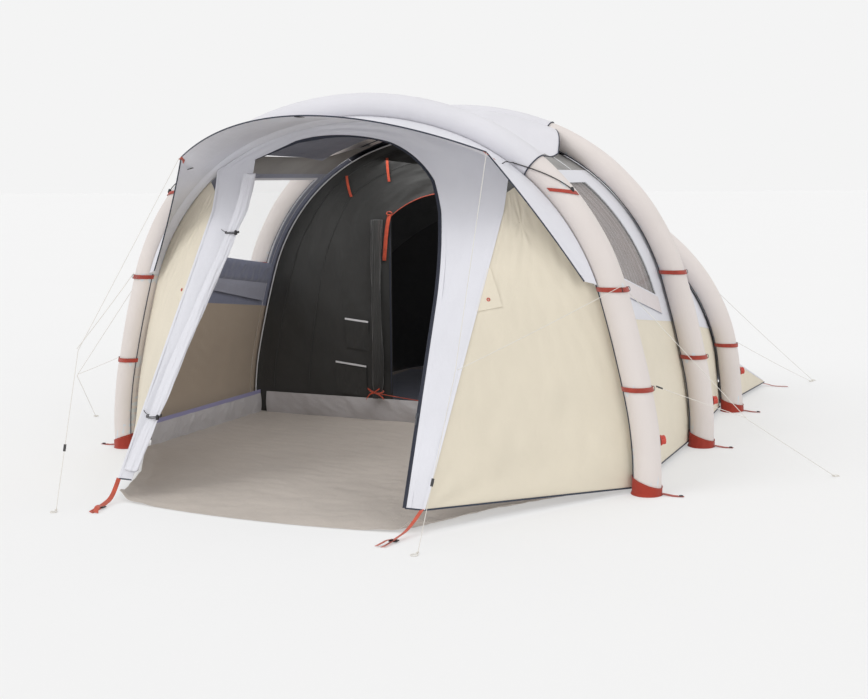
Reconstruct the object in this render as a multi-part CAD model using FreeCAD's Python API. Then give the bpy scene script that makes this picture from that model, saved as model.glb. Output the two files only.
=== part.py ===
import FreeCAD, Part
import math
import os

# Tunnel tent with three inflatable arches, a porch with a sun visor, a living room
# with side windows, and a hung bedroom. Millimetres; +Z up; the door faces -Y.
# The origin is on the ground, at the middle of the tent's footprint.
# Stations along the tent are counted from the front arch and shifted by FRONT_Y.

V = FreeCAD.Vector

FRONT_Y = -1170.0          # the front arch's plane in the part's own frame
MIDDLE_STATION = 1260.0    # middle arch, behind the front arch
REAR_STATION = 2490.0      # rear arch
HEM_STATION = 3700.0       # rear hem of the flysheet
REAR_HALF = 1530.0         # half width of the rear hem

BEAM_R = 72.5              # outside of a beam's sleeve
SLEEVE_WALL = 1.5
TUBE_GAP = 0.6             # air tube to sleeve
TUBE_WALL = 1.0
FOOT_LIFT = 9.5            # beam's end above the ground, inside its boot

FLY_INSET = 74.5           # beam centreline to the flysheet's outer face
FLY_THICK = 3.0
SLOPED_INSET = 83.0        # the same at the rear arch, for the cloth that slopes to it
FLAT_INSET = 73.4          # flat sewn side of boots and bands, next to the flysheet
HEM_Z = 26.0               # hem above the ground between the arches
SEAM_GAP = 3.0             # half the width of a sewn seam between two panels

PORCH_FOOT_Y = -1123.0     # the porch front plane at ground level
PORCH_LEAN = 0.722         # the plane's run back per unit of height
PORCH_HEM_Z = 98.0
PORCH_HALF = 832.0         # half width of the white front at its hem
PORCH_FLARE = 0.016        # widening per unit of height
PORCH_KINK_Z = 1400.0      # above this the front turns up beside the arch
DOOR_FOOT = 753.0          # right door edge at ground level
DOOR_EDGE_SLOPE = 0.136    # its run inwards per unit of height
DOOR_STRAIGHT_Z = 980.0    # top of the straight stretch

ROOF_EDGE_Z = 1700.0
VENT_SILL_Z = 1610.0
BORDER_Z = (880.0, 735.0, 560.0)   # top of the beige skirt at each arch

LINE_R = 1.5               # guy line
RUNNER_BORE = 2.2


class Arch:
    """One beam's centreline in an XZ plane: tangent arcs from each foot to the crown."""

    def __init__(self, station, heading, arcs):
        self.station = station
        self.pieces = []
        x, z, turned, run = 0.0, 0.0, math.radians(heading), 0.0
        for radius, turn in arcs:
            cx = x - radius * math.sin(turned)
            cz = z + radius * math.cos(turned)
            length = radius * math.radians(turn)
            self.pieces.append([cx, cz, radius, turned - math.pi / 2, run, length])
            turned += math.radians(turn)
            x = cx + radius * math.sin(turned)
            z = cz - radius * math.cos(turned)
            run += length
        for piece in self.pieces:
            piece[0] -= x
        self.length = run

    def point(self, u, inset=0.0, dy=0.0):
        """u runs from -length at the left foot to +length at the right foot."""
        normal, centre, radius = self._local(u)
        return V(centre.x, self.station + dy, centre.z) + normal * (radius - inset)

    def outward(self, u):
        return self._local(u)[0]

    def _local(self, u):
        side = 1.0 if u >= 0 else -1.0
        run = self.length - abs(u)
        for cx, cz, radius, angle, start, length in self.pieces:
            if run <= start + length + 1e-9:
                break
        turned = angle + (run - start) / radius
        normal = V(side * math.cos(turned), 0, math.sin(turned))
        return normal, V(side * cx, 0, cz), radius

    def breaks(self):
        ends = [self.length - piece[4] for piece in self.pieces] + [0.0]
        return sorted({side * end for end in ends for side in (-1.0, 1.0)})

    def wire(self, u0, u1):
        stops = [u0] + [u for u in self.breaks() if u0 + 1.0 < u < u1 - 1.0] + [u1]
        edges = []
        for low, high in zip(stops, stops[1:]):
            middle = self.point((low + high) / 2)
            edges.append(Part.Arc(self.point(low), middle, self.point(high)).toShape())
        return Part.Wire(edges)

    def at_height(self, z, inset=0.0):
        """The right-hand u whose inset point has this height."""
        low, high = 0.0, self.length
        for _ in range(50):
            middle = (low + high) / 2
            if self.point(middle, inset).z > z:
                low = middle
            else:
                high = middle
        return (low + high) / 2


MAIN_ARCS = [(1900.0, 14.4), (6600.0, 4.7), (1300.0, 52.7), (1740.0, 20.2)]
LOW_ARCS = [(6155.0, 3.3), (1182.0, 41.5), (1657.0, 41.1)]
FRONT = Arch(0.0, 88.0, MAIN_ARCS)
MIDDLE = Arch(MIDDLE_STATION, 88.0, MAIN_ARCS)
REAR = Arch(REAR_STATION, 94.1, LOW_ARCS)
ARCHES = {"front": FRONT, "middle": MIDDLE, "rear": REAR}


def mirrored(shape):
    return shape.mirror(V(0, 0, 0), V(1, 0, 0))


def pair(shape):
    return [shape, mirrored(shape)]


def spread(low, high, count):
    return [low + (high - low) * i / (count - 1) for i in range(count)]


def unit(vector):
    return vector * (1.0 / vector.Length)


def ribbon(rows, inside, thick=FLY_THICK, ruled=False):
    """Closed sheet through rows of edge points (a, b), thickened towards inside."""
    wires = []
    for i, (a, b) in enumerate(rows):
        before = rows[max(i - 1, 0)]
        after = rows[min(i + 1, len(rows) - 1)]
        along = (after[0] + after[1]) - (before[0] + before[1])
        normal = unit((b - a).cross(along))
        if normal.dot(inside - (a + b) * 0.5) < 0:
            normal = normal * -1.0
        step = normal * thick
        wires.append(Part.makePolygon([a, b, b + step, a + step, a]))
    return Part.makeLoft(wires, True, ruled)


def swept(arch, u0, u1, radius):
    path = arch.wire(u0, u1)
    start = arch.point(u0)
    tangent = unit(arch.point(u0 + 1.0) - start)
    circle = Part.Wire(Part.makeCircle(radius, start, tangent))
    return path.makePipeShell([circle], True, False)


def collar(arch, u0, u1, inner, outer):
    """A sleeve round the beam, open at both ends."""
    reach = 2.0
    return swept(arch, u0, u1, outer).cut(swept(arch, u0 - reach, u1 + reach, inner))


def flat_side(shape, arch, u, depth, length):
    """Cuts off what stands past depth on the beam's flysheet side, near u."""
    out = arch.outward(u)
    size = 200.0
    box = Part.makeBox(length, size, size, V(-length / 2, -size / 2, depth))
    turn = FreeCAD.Rotation(V(0, 0, 1), out * -1.0)
    box.Placement = FreeCAD.Placement(arch.point(u), turn)
    return shape.cut(box)


def rod(start, end, radius):
    return Part.makeCylinder(radius, (end - start).Length, start, end - start)


# ---- beams -------------------------------------------------------------------------

def beam_sleeve(arch):
    u = arch.length - FOOT_LIFT
    return collar(arch, -u, u, BEAM_R - SLEEVE_WALL, BEAM_R)


def air_tube(arch):
    u = arch.length - FOOT_LIFT - 4.0
    radius = BEAM_R - SLEEVE_WALL - TUBE_GAP
    room = swept(arch, -u + TUBE_WALL, u - TUBE_WALL, radius - TUBE_WALL)
    return swept(arch, -u, u, radius).cut(room)


COVER_HALF = 1050.0        # the roof cloth wraps the front beam's top this far each way
COVER_WALL = 1.2
COVER_GAP = 0.4            # beam to cover
MIDDLE_COVER_Z = 1757.0    # lower end of the cloth over the middle beam
MIDDLE_COVER_TURN = 58.0   # it reaches this far round the beam to each side


def front_cover():
    """Roof cloth wrapped round the front beam's top."""
    inner = BEAM_R + COVER_GAP
    return collar(FRONT, -COVER_HALF, COVER_HALF, inner, inner + COVER_WALL)


def middle_cover():
    """Roof cloth that lies over the top of the middle beam."""
    half = MIDDLE.at_height(MIDDLE_COVER_Z, FLY_INSET)
    inner = BEAM_R + COVER_GAP
    ring = collar(MIDDLE, -half, half, inner, inner + COVER_WALL)
    rise = inner * math.cos(math.radians(MIDDLE_COVER_TURN))
    return ring.cut(arch_inside(-rise, MIDDLE_STATION - 150.0, MIDDLE_STATION + 150.0))


BOOT_HIGH = 125.0
BOOT_LOW = 70.0
BOOT_WALL = 3.0


def boot(arch):
    """Right-hand boot: a cup whose rim drops towards the outside of the tent."""
    top = arch.length
    inner = BEAM_R + 0.4
    outer = inner + BOOT_WALL
    cup = collar(arch, top - BOOT_HIGH, top + 8.0, inner, outer)
    below = Part.makeBox(4000.0, 400.0, 100.0,
                         V(0, arch.station - 200.0, BOOT_WALL / 2 - 100.0))
    cup = cup.cut(below)
    foot = arch.point(top)
    base = Part.makeCylinder(outer + 4.0, BOOT_WALL, V(foot.x, foot.y, 0))
    wedge_low = foot + V(-outer, -outer - 5, BOOT_HIGH)
    wedge = Part.Wire(Part.makePolygon([
        wedge_low, wedge_low + V(2 * outer + 60, 0, BOOT_LOW - BOOT_HIGH),
        wedge_low + V(2 * outer + 60, 0, 100), wedge_low + V(0, 0, 100), wedge_low]))
    cut = Part.Face(wedge).extrude(V(0, 2 * outer + 10, 0))
    cup = cup.cut(cut).fuse(base)
    return flat_side(cup.removeSplitter(), arch, top - BOOT_HIGH / 2, FLAT_INSET, 400.0)


BAND_WIDTH = 38.0
BAND_WALL = 2.0
FRONT_BANDS = (1020.0, 530.0)
MIDDLE_BANDS = (1020.0, 530.0)
REAR_BANDS = (450.0,)


def band(arch, z):
    u = arch.at_height(z)
    inner = BEAM_R + 0.3
    half = BAND_WIDTH / 2
    ring = collar(arch, u - half, u + half, inner, inner + BAND_WALL)
    return flat_side(ring, arch, u, FLAT_INSET, 120.0)


STRAP_WIDTH = 25.0
STRAP_THICK = 3.0
FOOT_STRAP = 110.0


def foot_strap(arch):
    """Webbing on the ground that leaves the boot outwards, with its pegging eye."""
    foot = arch.point(arch.length)
    start = foot.x + BEAM_R + 9.0
    flat = Part.makeBox(FOOT_STRAP, STRAP_WIDTH, STRAP_THICK,
                        V(start, foot.y - STRAP_WIDTH / 2, 0))
    eye = Part.makeCylinder(7.0, 20.0, V(start + FOOT_STRAP - 18, foot.y, -5))
    return flat.cut(eye)


# ---- valves ------------------------------------------------------------------------

VALVE_Z = {"front": 262.0, "middle": 262.0, "rear": 262.0}
VALVE_BACK = 35.0          # degrees from straight out towards the rear
VALVE_BASE_R = 27.0
VALVE_BASE_HIGH = 6.0
VALVE_CAP_R = 23.0
VALVE_CAP_HIGH = 20.0
VALVE_RIBS = 12


def valve_frame(name):
    arch = ARCHES[name]
    turn = math.radians(VALVE_BACK)
    centre = arch.point(arch.at_height(VALVE_Z[name]))
    flat = V(math.cos(turn), math.sin(turn), 0)
    upright = arch.outward(arch.at_height(VALVE_Z[name])).cross(V(0, 1, 0))
    out = unit(flat - upright * flat.dot(upright))
    return centre + out * (BEAM_R + 0.6), out


def valve_base(name):
    start, out = valve_frame(name)
    base = Part.makeCylinder(VALVE_BASE_R, VALVE_BASE_HIGH, start, out)
    well = Part.makeCylinder(VALVE_CAP_R - 8, 10.0, start + out * 3.0, out)
    return base.cut(well)


def valve_cap(name):
    start, out = valve_frame(name)
    start = start + out * (VALVE_BASE_HIGH + 0.4)
    cap = Part.makeCylinder(VALVE_CAP_R, VALVE_CAP_HIGH, start, out)
    stem = Part.makeCylinder(VALVE_CAP_R - 8.6, 3.0, start - out * 2.6, out)
    side = unit(out.cross(V(0, 0, 1)))
    up = side.cross(out)
    for i in range(VALVE_RIBS):
        a = 2 * math.pi * i / VALVE_RIBS
        at = side * math.cos(a) + up * math.sin(a)
        groove = Part.makeCylinder(2.4, VALVE_CAP_HIGH, start + at * (VALVE_CAP_R + 0.8), out)
        cap = cap.cut(groove)
    return cap.fuse(stem).removeSplitter()


# ---- flysheet ----------------------------------------------------------------------

def rows_between(front, back, u_front, u_back, inset, start, end, count):
    """Rows whose a edge lies at the front arch and b edge at the back arch."""
    rows = []
    inset_back = SLOPED_INSET if back is REAR else inset
    for share in spread(0.0, 1.0, count):
        uf = u_front[0] + (u_front[1] - u_front[0]) * share
        ub = u_back[0] + (u_back[1] - u_back[0]) * share
        a = front.point(uf, inset)
        b = back.point(ub, inset_back)
        run = b - a
        length = back.station - front.station
        rows.append((a + run * (start / length), b - run * (end / length)))
    return rows


def inside_of(arch):
    return V(0, arch.station + 600.0, 700.0)


def roof(front, back, count=15):
    uf = front.at_height(ROOF_EDGE_Z if front is not REAR else 1250.0, FLY_INSET)
    ub = back.at_height(ROOF_EDGE_Z if back is not REAR else 1250.0, FLY_INSET)
    rows = rows_between(front, back, (-uf, uf), (-ub, ub), FLY_INSET,
                        SEAM_GAP, SEAM_GAP, count)
    return ribbon(rows, inside_of(front))


def wall(front, back, z_front, z_back, count=7):
    """Right-hand side panel from (low, high) at the front arch to (low, high) behind."""
    gap = SEAM_GAP
    u_front = [front.at_height(z_front[0], FLY_INSET) - gap,
               front.at_height(z_front[1], FLY_INSET) + gap]
    u_back = [back.at_height(z_back[0], FLY_INSET) - gap,
              back.at_height(z_back[1], FLY_INSET) + gap]
    rows = rows_between(front, back, u_front, u_back, FLY_INSET, gap, gap, count)
    return ribbon(rows, inside_of(front))


WINDOW_FRONT_Y = 180.0
WINDOW_TOP = (1545.0, 940.0)       # height and rear end of the top edge
WINDOW_FOOT = (1110.0, 895.0, 1050.0)  # heights at the front and rear ends, rear end
LEFT_WINDOW_TOP = (1570.0, 1190.0)     # the left window reaches nearer the middle arch
LEFT_WINDOW_FOOT = (1110.0, 853.0, 1215.0)


def window_hole(margin, top=WINDOW_TOP, foot=WINDOW_FOOT):
    """Window opening on the right-hand side, grown by margin, as a bar along X."""
    corners = [(WINDOW_FRONT_Y - margin, foot[0] - margin),
               (WINDOW_FRONT_Y - margin, top[0] + margin),
               (top[1] + margin, top[0] + margin),
               (foot[2] + margin, foot[1] - margin)]
    points = [V(700.0, y, z) for y, z in corners]
    face = Part.Face(Part.makePolygon(points + points[:1]))
    return face.extrude(V(900.0, 0, 0))


def wall_sheet(inset, thick, z_low, z_high):
    """A plain right-hand sheet of the living room at an inset, cut to shape by others."""
    u0 = FRONT.at_height(z_low, inset)
    u1 = FRONT.at_height(z_high, inset)
    rows = rows_between(FRONT, MIDDLE, (u0, u1), (u0, u1), inset, 20.0, 20.0, 7)
    return ribbon(rows, inside_of(FRONT), thick)


def window_films():
    film = wall_sheet(FLY_INSET + 0.8, 1.2, 850.0, 1600.0)
    left = film.common(window_hole(-1.0, LEFT_WINDOW_TOP, LEFT_WINDOW_FOOT))
    return [film.common(window_hole(-1.0)), mirrored(left)]


CURTAIN_INSET = 92.0
POCKET_LOW = (1004.0, 765.0)       # the pocket's lower edge at the front and middle arches
POCKET_HIGH = (1176.0, 1015.0)


def window_curtain():
    return wall_sheet(CURTAIN_INSET, 3.0, 820.0, 1605.0).common(window_hole(25.0))


def curtain_pocket():
    """The left window's curtain, rolled into its pocket over the sill."""
    ends = [[arch.at_height(heights[k], CURTAIN_INSET) for heights in (POCKET_LOW, POCKET_HIGH)]
            for k, arch in enumerate((FRONT, MIDDLE))]
    rows = rows_between(FRONT, MIDDLE, ends[0], ends[1], CURTAIN_INSET, 190.0, 30.0, 4)
    return mirrored(ribbon(rows, inside_of(FRONT), 22.0))


def vent_mesh():
    u0 = FRONT.at_height(VENT_SILL_Z, FLY_INSET) - SEAM_GAP
    u1 = FRONT.at_height(ROOF_EDGE_Z, FLY_INSET) + SEAM_GAP
    rows = rows_between(FRONT, MIDDLE, (u0, u1), (u0, u1), FLY_INSET, SEAM_GAP, SEAM_GAP, 3)
    return ribbon(rows, inside_of(FRONT), 1.5)


REAR_SEAM_Z = 420.0
REAR_CORNER = V(REAR_HALF, HEM_STATION, 22.0)


def rear_panel(count=15):
    u = REAR.at_height(REAR_SEAM_Z, FLY_INSET) - SEAM_GAP
    rows = []
    for share in spread(-1.0, 1.0, count):
        top = REAR.point(u * share, FLY_INSET, SEAM_GAP)
        foot = V(REAR_HALF * share * 0.985, HEM_STATION, 22.0)
        rows.append((top, foot))
    return ribbon(rows, V(0, REAR_STATION, 100.0))


def rear_side():
    """Right-hand triangle between the rear leg, the hem and the rear corner."""
    high = REAR.at_height(REAR_SEAM_Z, FLY_INSET) + SEAM_GAP
    low = REAR.at_height(HEM_Z, FLY_INSET)
    corner = REAR_CORNER + V(0, -12.0, 0)
    rows = []
    for share in spread(0.0, 1.0, 4):
        leg = REAR.point(low + (high - low) * share, FLY_INSET, SEAM_GAP)
        tip = corner + V(-6.0, -30.0, 16.0) * share
        rows.append((leg, tip))
    return ribbon(rows, V(0, REAR_STATION + 300.0, 100.0))


# ---- porch -------------------------------------------------------------------------

def front_y(z):
    """The porch front's outer face: a leaning plane that turns up beside the arch."""
    if z <= PORCH_KINK_Z:
        return PORCH_FOOT_Y + PORCH_LEAN * z
    kink = PORCH_FOOT_Y + PORCH_LEAN * PORCH_KINK_Z
    share = (z - PORCH_KINK_Z) / 480.0
    return kink + (-kink - 12.0) * (1 - (1 - share) ** 2)


def front_half(z):
    return PORCH_HALF + PORCH_FLARE * (z - PORCH_HEM_Z)


def door_outline():
    """Door opening in the XZ plane: straight jambs, a wide shoulder on the zip side."""
    foot = PORCH_HEM_Z - 60.0
    right_foot = V(DOOR_FOOT - DOOR_EDGE_SLOPE * foot, 0, foot)
    right_top = V(DOOR_FOOT - DOOR_EDGE_SLOPE * DOOR_STRAIGHT_Z, 0, DOOR_STRAIGHT_Z)
    shoulder = V(455.0, 0, 1555.0)
    crown_right = V(190.0, 0, 1755.0)
    crown = V(-60.0, 0, 1795.0)
    crown_left = V(-370.0, 0, 1770.0)
    left_top = V(-625.0, 0, 1675.0)
    left_foot = V(-762.0, 0, foot)
    edges = [Part.makeLine(right_foot, right_top),
             Part.Arc(right_top, V(550.0, 0, 1290.0), shoulder).toShape(),
             Part.Arc(shoulder, V(345.0, 0, 1668.0), crown_right).toShape(),
             Part.Arc(crown_right, crown, crown_left).toShape(),
             Part.makeLine(crown_left, left_top),
             Part.makeLine(left_top, left_foot),
             Part.makeLine(left_foot, right_foot)]
    return Part.Wire(edges)


def arch_inside(inset, y0, y1):
    """Everything under the front arch at an inset, between two stations."""
    edges = []
    stops = FRONT.breaks()
    for low, high in zip(stops, stops[1:]):
        points = [FRONT.point(u, inset) for u in (low, (low + high) / 2, high)]
        edges.append(Part.Arc(points[0], points[1], points[2]).toShape())
    edges.append(Part.makeLine(edges[-1].Vertexes[-1].Point, edges[0].Vertexes[0].Point))
    face = Part.Face(Part.Wire(Part.__sortEdges__(edges)))
    face.translate(V(0, y0, 0))
    return face.extrude(V(0, y1 - y0, 0))


def porch_front():
    heights = [PORCH_HEM_Z, 600.0, 1100.0, 1400.0, 1500.0, 1600.0, 1700.0, 1800.0, 1875.0]
    rows = []
    for z in heights:
        half = front_half(z) - SEAM_GAP
        rows.append((V(-half, front_y(z), z), V(half, front_y(z), z)))
    sheet = ribbon(rows, V(0, 800.0, 600.0), ruled=True)
    hole = Part.Face(door_outline())
    hole.translate(V(0, -1400.0, 0))
    sheet = sheet.cut(hole.extrude(V(0, 1500.0, 0)))
    return sheet.common(arch_inside(FLY_INSET + 0.5, -1400.0, 1390.0))


PORCH_SIDE_TOP_Z = 1490.0


def porch_side():
    """Right-hand beige panel between the front's seam and the front arch."""
    u_low = FRONT.at_height(HEM_Z, FLY_INSET)
    u_high = FRONT.at_height(1560.0, FLY_INSET)
    rows = []
    for share in spread(0.0, 1.0, 9):
        z = PORCH_HEM_Z + (PORCH_SIDE_TOP_Z - PORCH_HEM_Z) * share
        a = V(front_half(z) + SEAM_GAP, front_y(z) + 2.0, z)
        b = FRONT.point(u_low + (u_high - u_low) * share, FLY_INSET, -SEAM_GAP)
        rows.append((a, b))
    return ribbon(rows, V(0, 0, 700.0))


VISOR_REACH = 655.0        # the brim's lead in front of the arch, at the middle
VISOR_CROWN_Z = 1872.0
VISOR_CORNER_X = 868.0
VISOR_CORNER_Z = 1690.0
VISOR_CORNER_Y = -375.0
VISOR_END = V(1272.0, -92.0, 1060.0)


def visor_edge(share):
    """Right half of the brim's free edge: 0 at the middle, 1 at the corner, 2 at its end."""
    if share <= 1.0:
        x = VISOR_CORNER_X * share
        y = -VISOR_REACH + (VISOR_REACH + VISOR_CORNER_Y) * share ** 2
        z = VISOR_CROWN_Z + (VISOR_CORNER_Z - VISOR_CROWN_Z) * share ** 2
        return V(x, y, z)
    corner = V(VISOR_CORNER_X, VISOR_CORNER_Y, VISOR_CORNER_Z)
    rest = share - 1.0
    belly = V(0.0, 22.0, 8.0) * (4 * rest * (1 - rest))
    return corner + (VISOR_END - corner) * rest + belly


def visor():
    """Brim from the front beam's lower face to its free edge, tapering down each leg."""
    root_corner = FRONT.at_height(1600.0)
    root_end = FRONT.at_height(1062.0)
    rows = []
    for share in spread(-2.0, 2.0, 25):
        side = 1.0 if share >= 0 else -1.0
        along = abs(share)
        if along <= 1.0:
            u = root_corner * along
        else:
            u = root_corner + (root_end - root_corner) * (along - 1.0)
        root = FRONT.point(u, 50.0, -62.0)
        edge = visor_edge(along)
        rows.append((V(side * root.x, root.y, root.z), V(side * edge.x, edge.y, edge.z)))
    return ribbon(rows, V(0, 0, 700.0), ruled=True)


ROLL_R = 30.0
ROLL_FOOT_Z = 150.0
ROLL_TOP_Z = 1600.0


def roll_centre(z):
    """The tied-back door's axis, in front of the left jamb."""
    x = -762.0 + 0.0865 * z + 4.0
    return V(x, front_y(z) - ROLL_R - 26.0, z)


def door_roll():
    wires = []
    for i, z in enumerate(spread(ROLL_FOOT_Z, ROLL_TOP_Z, 9)):
        centre = roll_centre(z)
        wide = ROLL_R * (0.82 + 0.18 * math.cos(2.1 * i))
        points = []
        for k in range(8):
            a = math.radians(45.0 * k + 22.5)
            points.append(centre + V(wide * 1.1 * math.cos(a), wide * 0.8 * math.sin(a), 0))
        wires.append(Part.makePolygon(points + points[:1]))
    return Part.makeLoft(wires, True, True)


TIE_HEIGHTS = (395.0, 1290.0)
TIE_R = 38.0
TIE_CORD_R = 2.5


def door_ties():
    rings = []
    for z in TIE_HEIGHTS:
        centre = roll_centre(z)
        rings.append(Part.makeTorus(TIE_R, TIE_CORD_R, centre, V(0, 0, 1)))
    return rings


TOGGLE_R = 9.0
TOGGLE_LONG = 26.0


def toggle_seat(z):
    """Where a toggle hangs on its tie: the ring's front right."""
    turn = math.radians(-35.0)
    ring = V(math.cos(turn), math.sin(turn), 0)
    return roll_centre(z) + ring * (TIE_R + TIE_CORD_R + TOGGLE_R + 1.5)


def door_toggle(z):
    seat = toggle_seat(z)
    barrel = Part.makeCylinder(TOGGLE_R, TOGGLE_LONG, seat - V(0, 0, TOGGLE_LONG / 2))
    return barrel.makeFillet(3.0, [barrel.Edges[0], barrel.Edges[2]])


ZIP_WIDE = 9.0
ZIP_THICK = 2.0
ZIP_SEAM = 3.0             # chain to the cloth's edge


def door_zip():
    """Zip chain along the right jamb and over the shoulder, just inside the opening."""
    outline = door_outline()
    rows = []
    for edge in outline.Edges[:4]:
        for share in spread(0.02, 0.98, 6):
            low, high = edge.ParameterRange
            at = edge.valueAt(low + (high - low) * share)
            if at.z < PORCH_HEM_Z + 6.0:
                continue
            aim = V(0, 0, min(at.z, 1100.0))
            inward = unit(aim - at)
            a = at + inward * ZIP_SEAM
            b = at + inward * (ZIP_SEAM + ZIP_WIDE)
            rows.append((V(a.x, front_y(a.z), a.z), V(b.x, front_y(b.z), b.z)))
    return ribbon(rows, V(0, 800.0, 600.0), ZIP_THICK, ruled=True)


SLIDER_Z = 470.0           # where the door's slider is parked


def jamb_point(z):
    """Outer face of the porch front at the right door edge."""
    return V(DOOR_FOOT - DOOR_EDGE_SLOPE * z, front_y(z), z)


def jamb_frame(z):
    """Along the jamb, towards the opening and out of the tent, at one height."""
    along = unit(jamb_point(z + 10.0) - jamb_point(z - 10.0))
    out = unit(V(0, -1.0, PORCH_LEAN))
    across = unit(along.cross(out))
    if across.x > 0:
        across = across * -1.0
    return along, across, out


def oriented_block(centre, along, across, out, sizes):
    """A block whose sides follow three directions, centred on a point."""
    corner = centre - along * (sizes[0] / 2) - across * (sizes[1] / 2) - out * (sizes[2] / 2)
    points = [corner, corner + along * sizes[0],
              corner + along * sizes[0] + across * sizes[1], corner + across * sizes[1]]
    face = Part.Face(Part.makePolygon(points + points[:1]))
    return face.extrude(out * sizes[2])


def door_slider():
    """A slider that holds the zip chain between two plates, with its pull tab."""
    along, across, out = jamb_frame(SLIDER_Z)
    chain = jamb_point(SLIDER_Z) + across * (ZIP_SEAM + ZIP_WIDE / 2) - out * (ZIP_THICK / 2)
    front = chain + out * (ZIP_THICK / 2 + 2.2)
    back = chain - out * (ZIP_THICK / 2 + 2.2)
    edge = chain + across * (ZIP_WIDE / 2 + 2.6)
    plates = oriented_block(front, along, across, out, (26.0, 13.0, 2.4))
    plates = plates.fuse(oriented_block(back, along, across, out, (26.0, 13.0, 2.4)))
    plates = plates.fuse(oriented_block(edge, along, across, out, (26.0, 2.0, 8.6)))
    pull = oriented_block(front - along * 26.0 + out * 3.2, along, across, out, (52.0, 8.0, 2.4))
    lug = oriented_block(front - along * 4.0 + out * 2.2, along, across, out, (6.0, 5.0, 3.6))
    return plates.fuse(pull).fuse(lug).removeSplitter()


# ---- floor -------------------------------------------------------------------------

SHEET_THICK = 4.0
SHEET_OUTLINE = [(790.0, -1105.0), (1020.0, -620.0), (1440.0, 0.0), (1440.0, 40.0),
                 (1440.0, 1250.0), (1390.0, 2480.0), (1390.0, 3180.0), (1390.0, 3650.0)]
SHEET_BOW_Y = -1185.0
TRAY_FROM, TRAY_TO = 3, 6  # the outline's points where the tray walls start and end
TRAY_HIGH = 140.0
TRAY_WALL = 3.0
TRAY_GAP = 2.0              # room left round the tray walls where the bedroom crosses them


def groundsheet():
    """Floor with a bowed front apron and low tray walls behind the front arch."""
    right = [V(x, y, 0) for x, y in SHEET_OUTLINE]
    left = [V(-p.x, p.y, 0) for p in reversed(right)]
    bow = Part.Arc(left[-1], V(0, SHEET_BOW_Y, 0), right[0]).toShape()
    loop = right + left
    edges = [bow] + [Part.makeLine(p, q) for p, q in zip(loop, loop[1:])]
    floor = Part.Face(Part.Wire(edges)).extrude(V(0, 0, SHEET_THICK))
    outer = right[TRAY_FROM:TRAY_TO + 1]
    inner = [p - V(TRAY_WALL, 0, 0) for p in reversed(outer)]
    strip = Part.Face(Part.makePolygon(outer + inner + outer[:1]))
    tray = strip.extrude(V(0, 0, SHEET_THICK + TRAY_HIGH))
    for side in pair(tray):
        floor = floor.fuse(side)
    return floor.removeSplitter()


def tray_room():
    """Room round the two tray walls, notched out of the bedroom's front and rear walls."""
    outer = [V(x + TRAY_GAP, y, 0) for x, y in SHEET_OUTLINE[TRAY_FROM:TRAY_TO + 1]]
    inner = [p - V(TRAY_WALL + 2 * TRAY_GAP, 0, 0) for p in reversed(outer)]
    strip = Part.Face(Part.makePolygon(outer + inner + outer[:1]))
    return pair(strip.extrude(V(0, 0, SHEET_THICK + TRAY_HIGH + TRAY_GAP)))


def corner_strap():
    """Right front corner's pegging webbing, lying on the ground."""
    start = V(800.0, -1112.0, 0)
    tip = V(770.0, -1360.0, 0)
    across = unit((tip - start).cross(V(0, 0, 1))) * (STRAP_WIDTH / 2)
    points = [start - across, start + across, tip + across, tip - across]
    flat = Part.Face(Part.makePolygon(points + points[:1])).extrude(V(0, 0, STRAP_THICK))
    clear = Part.makeBox(300.0, 90.0, 50.0, V(640.0, -1180.0, -10.0))
    return flat.cut(clear)


def rear_strap():
    """Right rear corner's pegging webbing, lying on the ground."""
    start = V(REAR_HALF + 12.0, HEM_STATION - 70.0, 0)
    return Part.makeBox(170.0, STRAP_WIDTH, STRAP_THICK, start)


BUCKLE_CENTRE = V(782.0, -1262.0, STRAP_THICK + 5.2)


def corner_buckle():
    """Ladder-lock buckle over the corner strap: a frame with two slots."""
    size = V(40.0, 30.0, 6.0)
    body = Part.makeBox(size.x, size.y, size.z, BUCKLE_CENTRE - size * 0.5)
    body = body.makeFillet(1.5, body.Edges)
    for shift in (-8.0, 6.0):
        slot = Part.makeBox(28.0, 5.0, 20.0, BUCKLE_CENTRE + V(-14.0, shift, -10.0))
        body = body.cut(slot)
    return body


# ---- bedroom -----------------------------------------------------------------------

INNER_INSET = 100.0
INNER_FRONT_Y = 1295.0
INNER_THICK = 3.0
INNER_FLOOR_Z = SHEET_THICK + 1.0
INNER_REAR = 3420.0
INNER_FLOOR_HALF = 1290.0
INNER_DOOR = (-441.0, 374.0, 150.0, 1480.0)   # left, right, sill and head
INNER_DOOR_RISE = 150.0    # height of the arc over the bedroom door
INNER_REAR_BOW = 120.0     # the rear wall's hem rises this much towards its middle
INNER_HEM = 20.0           # hem of the bedroom's cloth above its floor


def inner_front():
    """Bedroom's front wall: the arch's shape at an inset, with its door opening."""
    face_solid = arch_inside(INNER_INSET, INNER_FRONT_Y, INNER_FRONT_Y + INNER_THICK)
    keep = Part.makeBox(4000.0, 4000.0, 3000.0, V(-2000.0, 0, INNER_FLOOR_Z + 6.0))
    left, right, sill, head = INNER_DOOR
    middle = (left + right) / 2
    shoulder = head - INNER_DOOR_RISE
    edges = [Part.makeLine(V(right, 0, sill), V(right, 0, shoulder)),
             Part.Arc(V(right, 0, shoulder), V(middle, 0, head),
                      V(left, 0, shoulder)).toShape(),
             Part.makeLine(V(left, 0, shoulder), V(left, 0, sill)),
             Part.makeLine(V(left, 0, sill), V(right, 0, sill))]
    hole = Part.Face(Part.Wire(edges))
    hole.translate(V(0, INNER_FRONT_Y - 50.0, 0))
    wall = face_solid.common(keep).cut(hole.extrude(V(0, 200.0, 0)))
    return wall.cut(tray_room())


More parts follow.
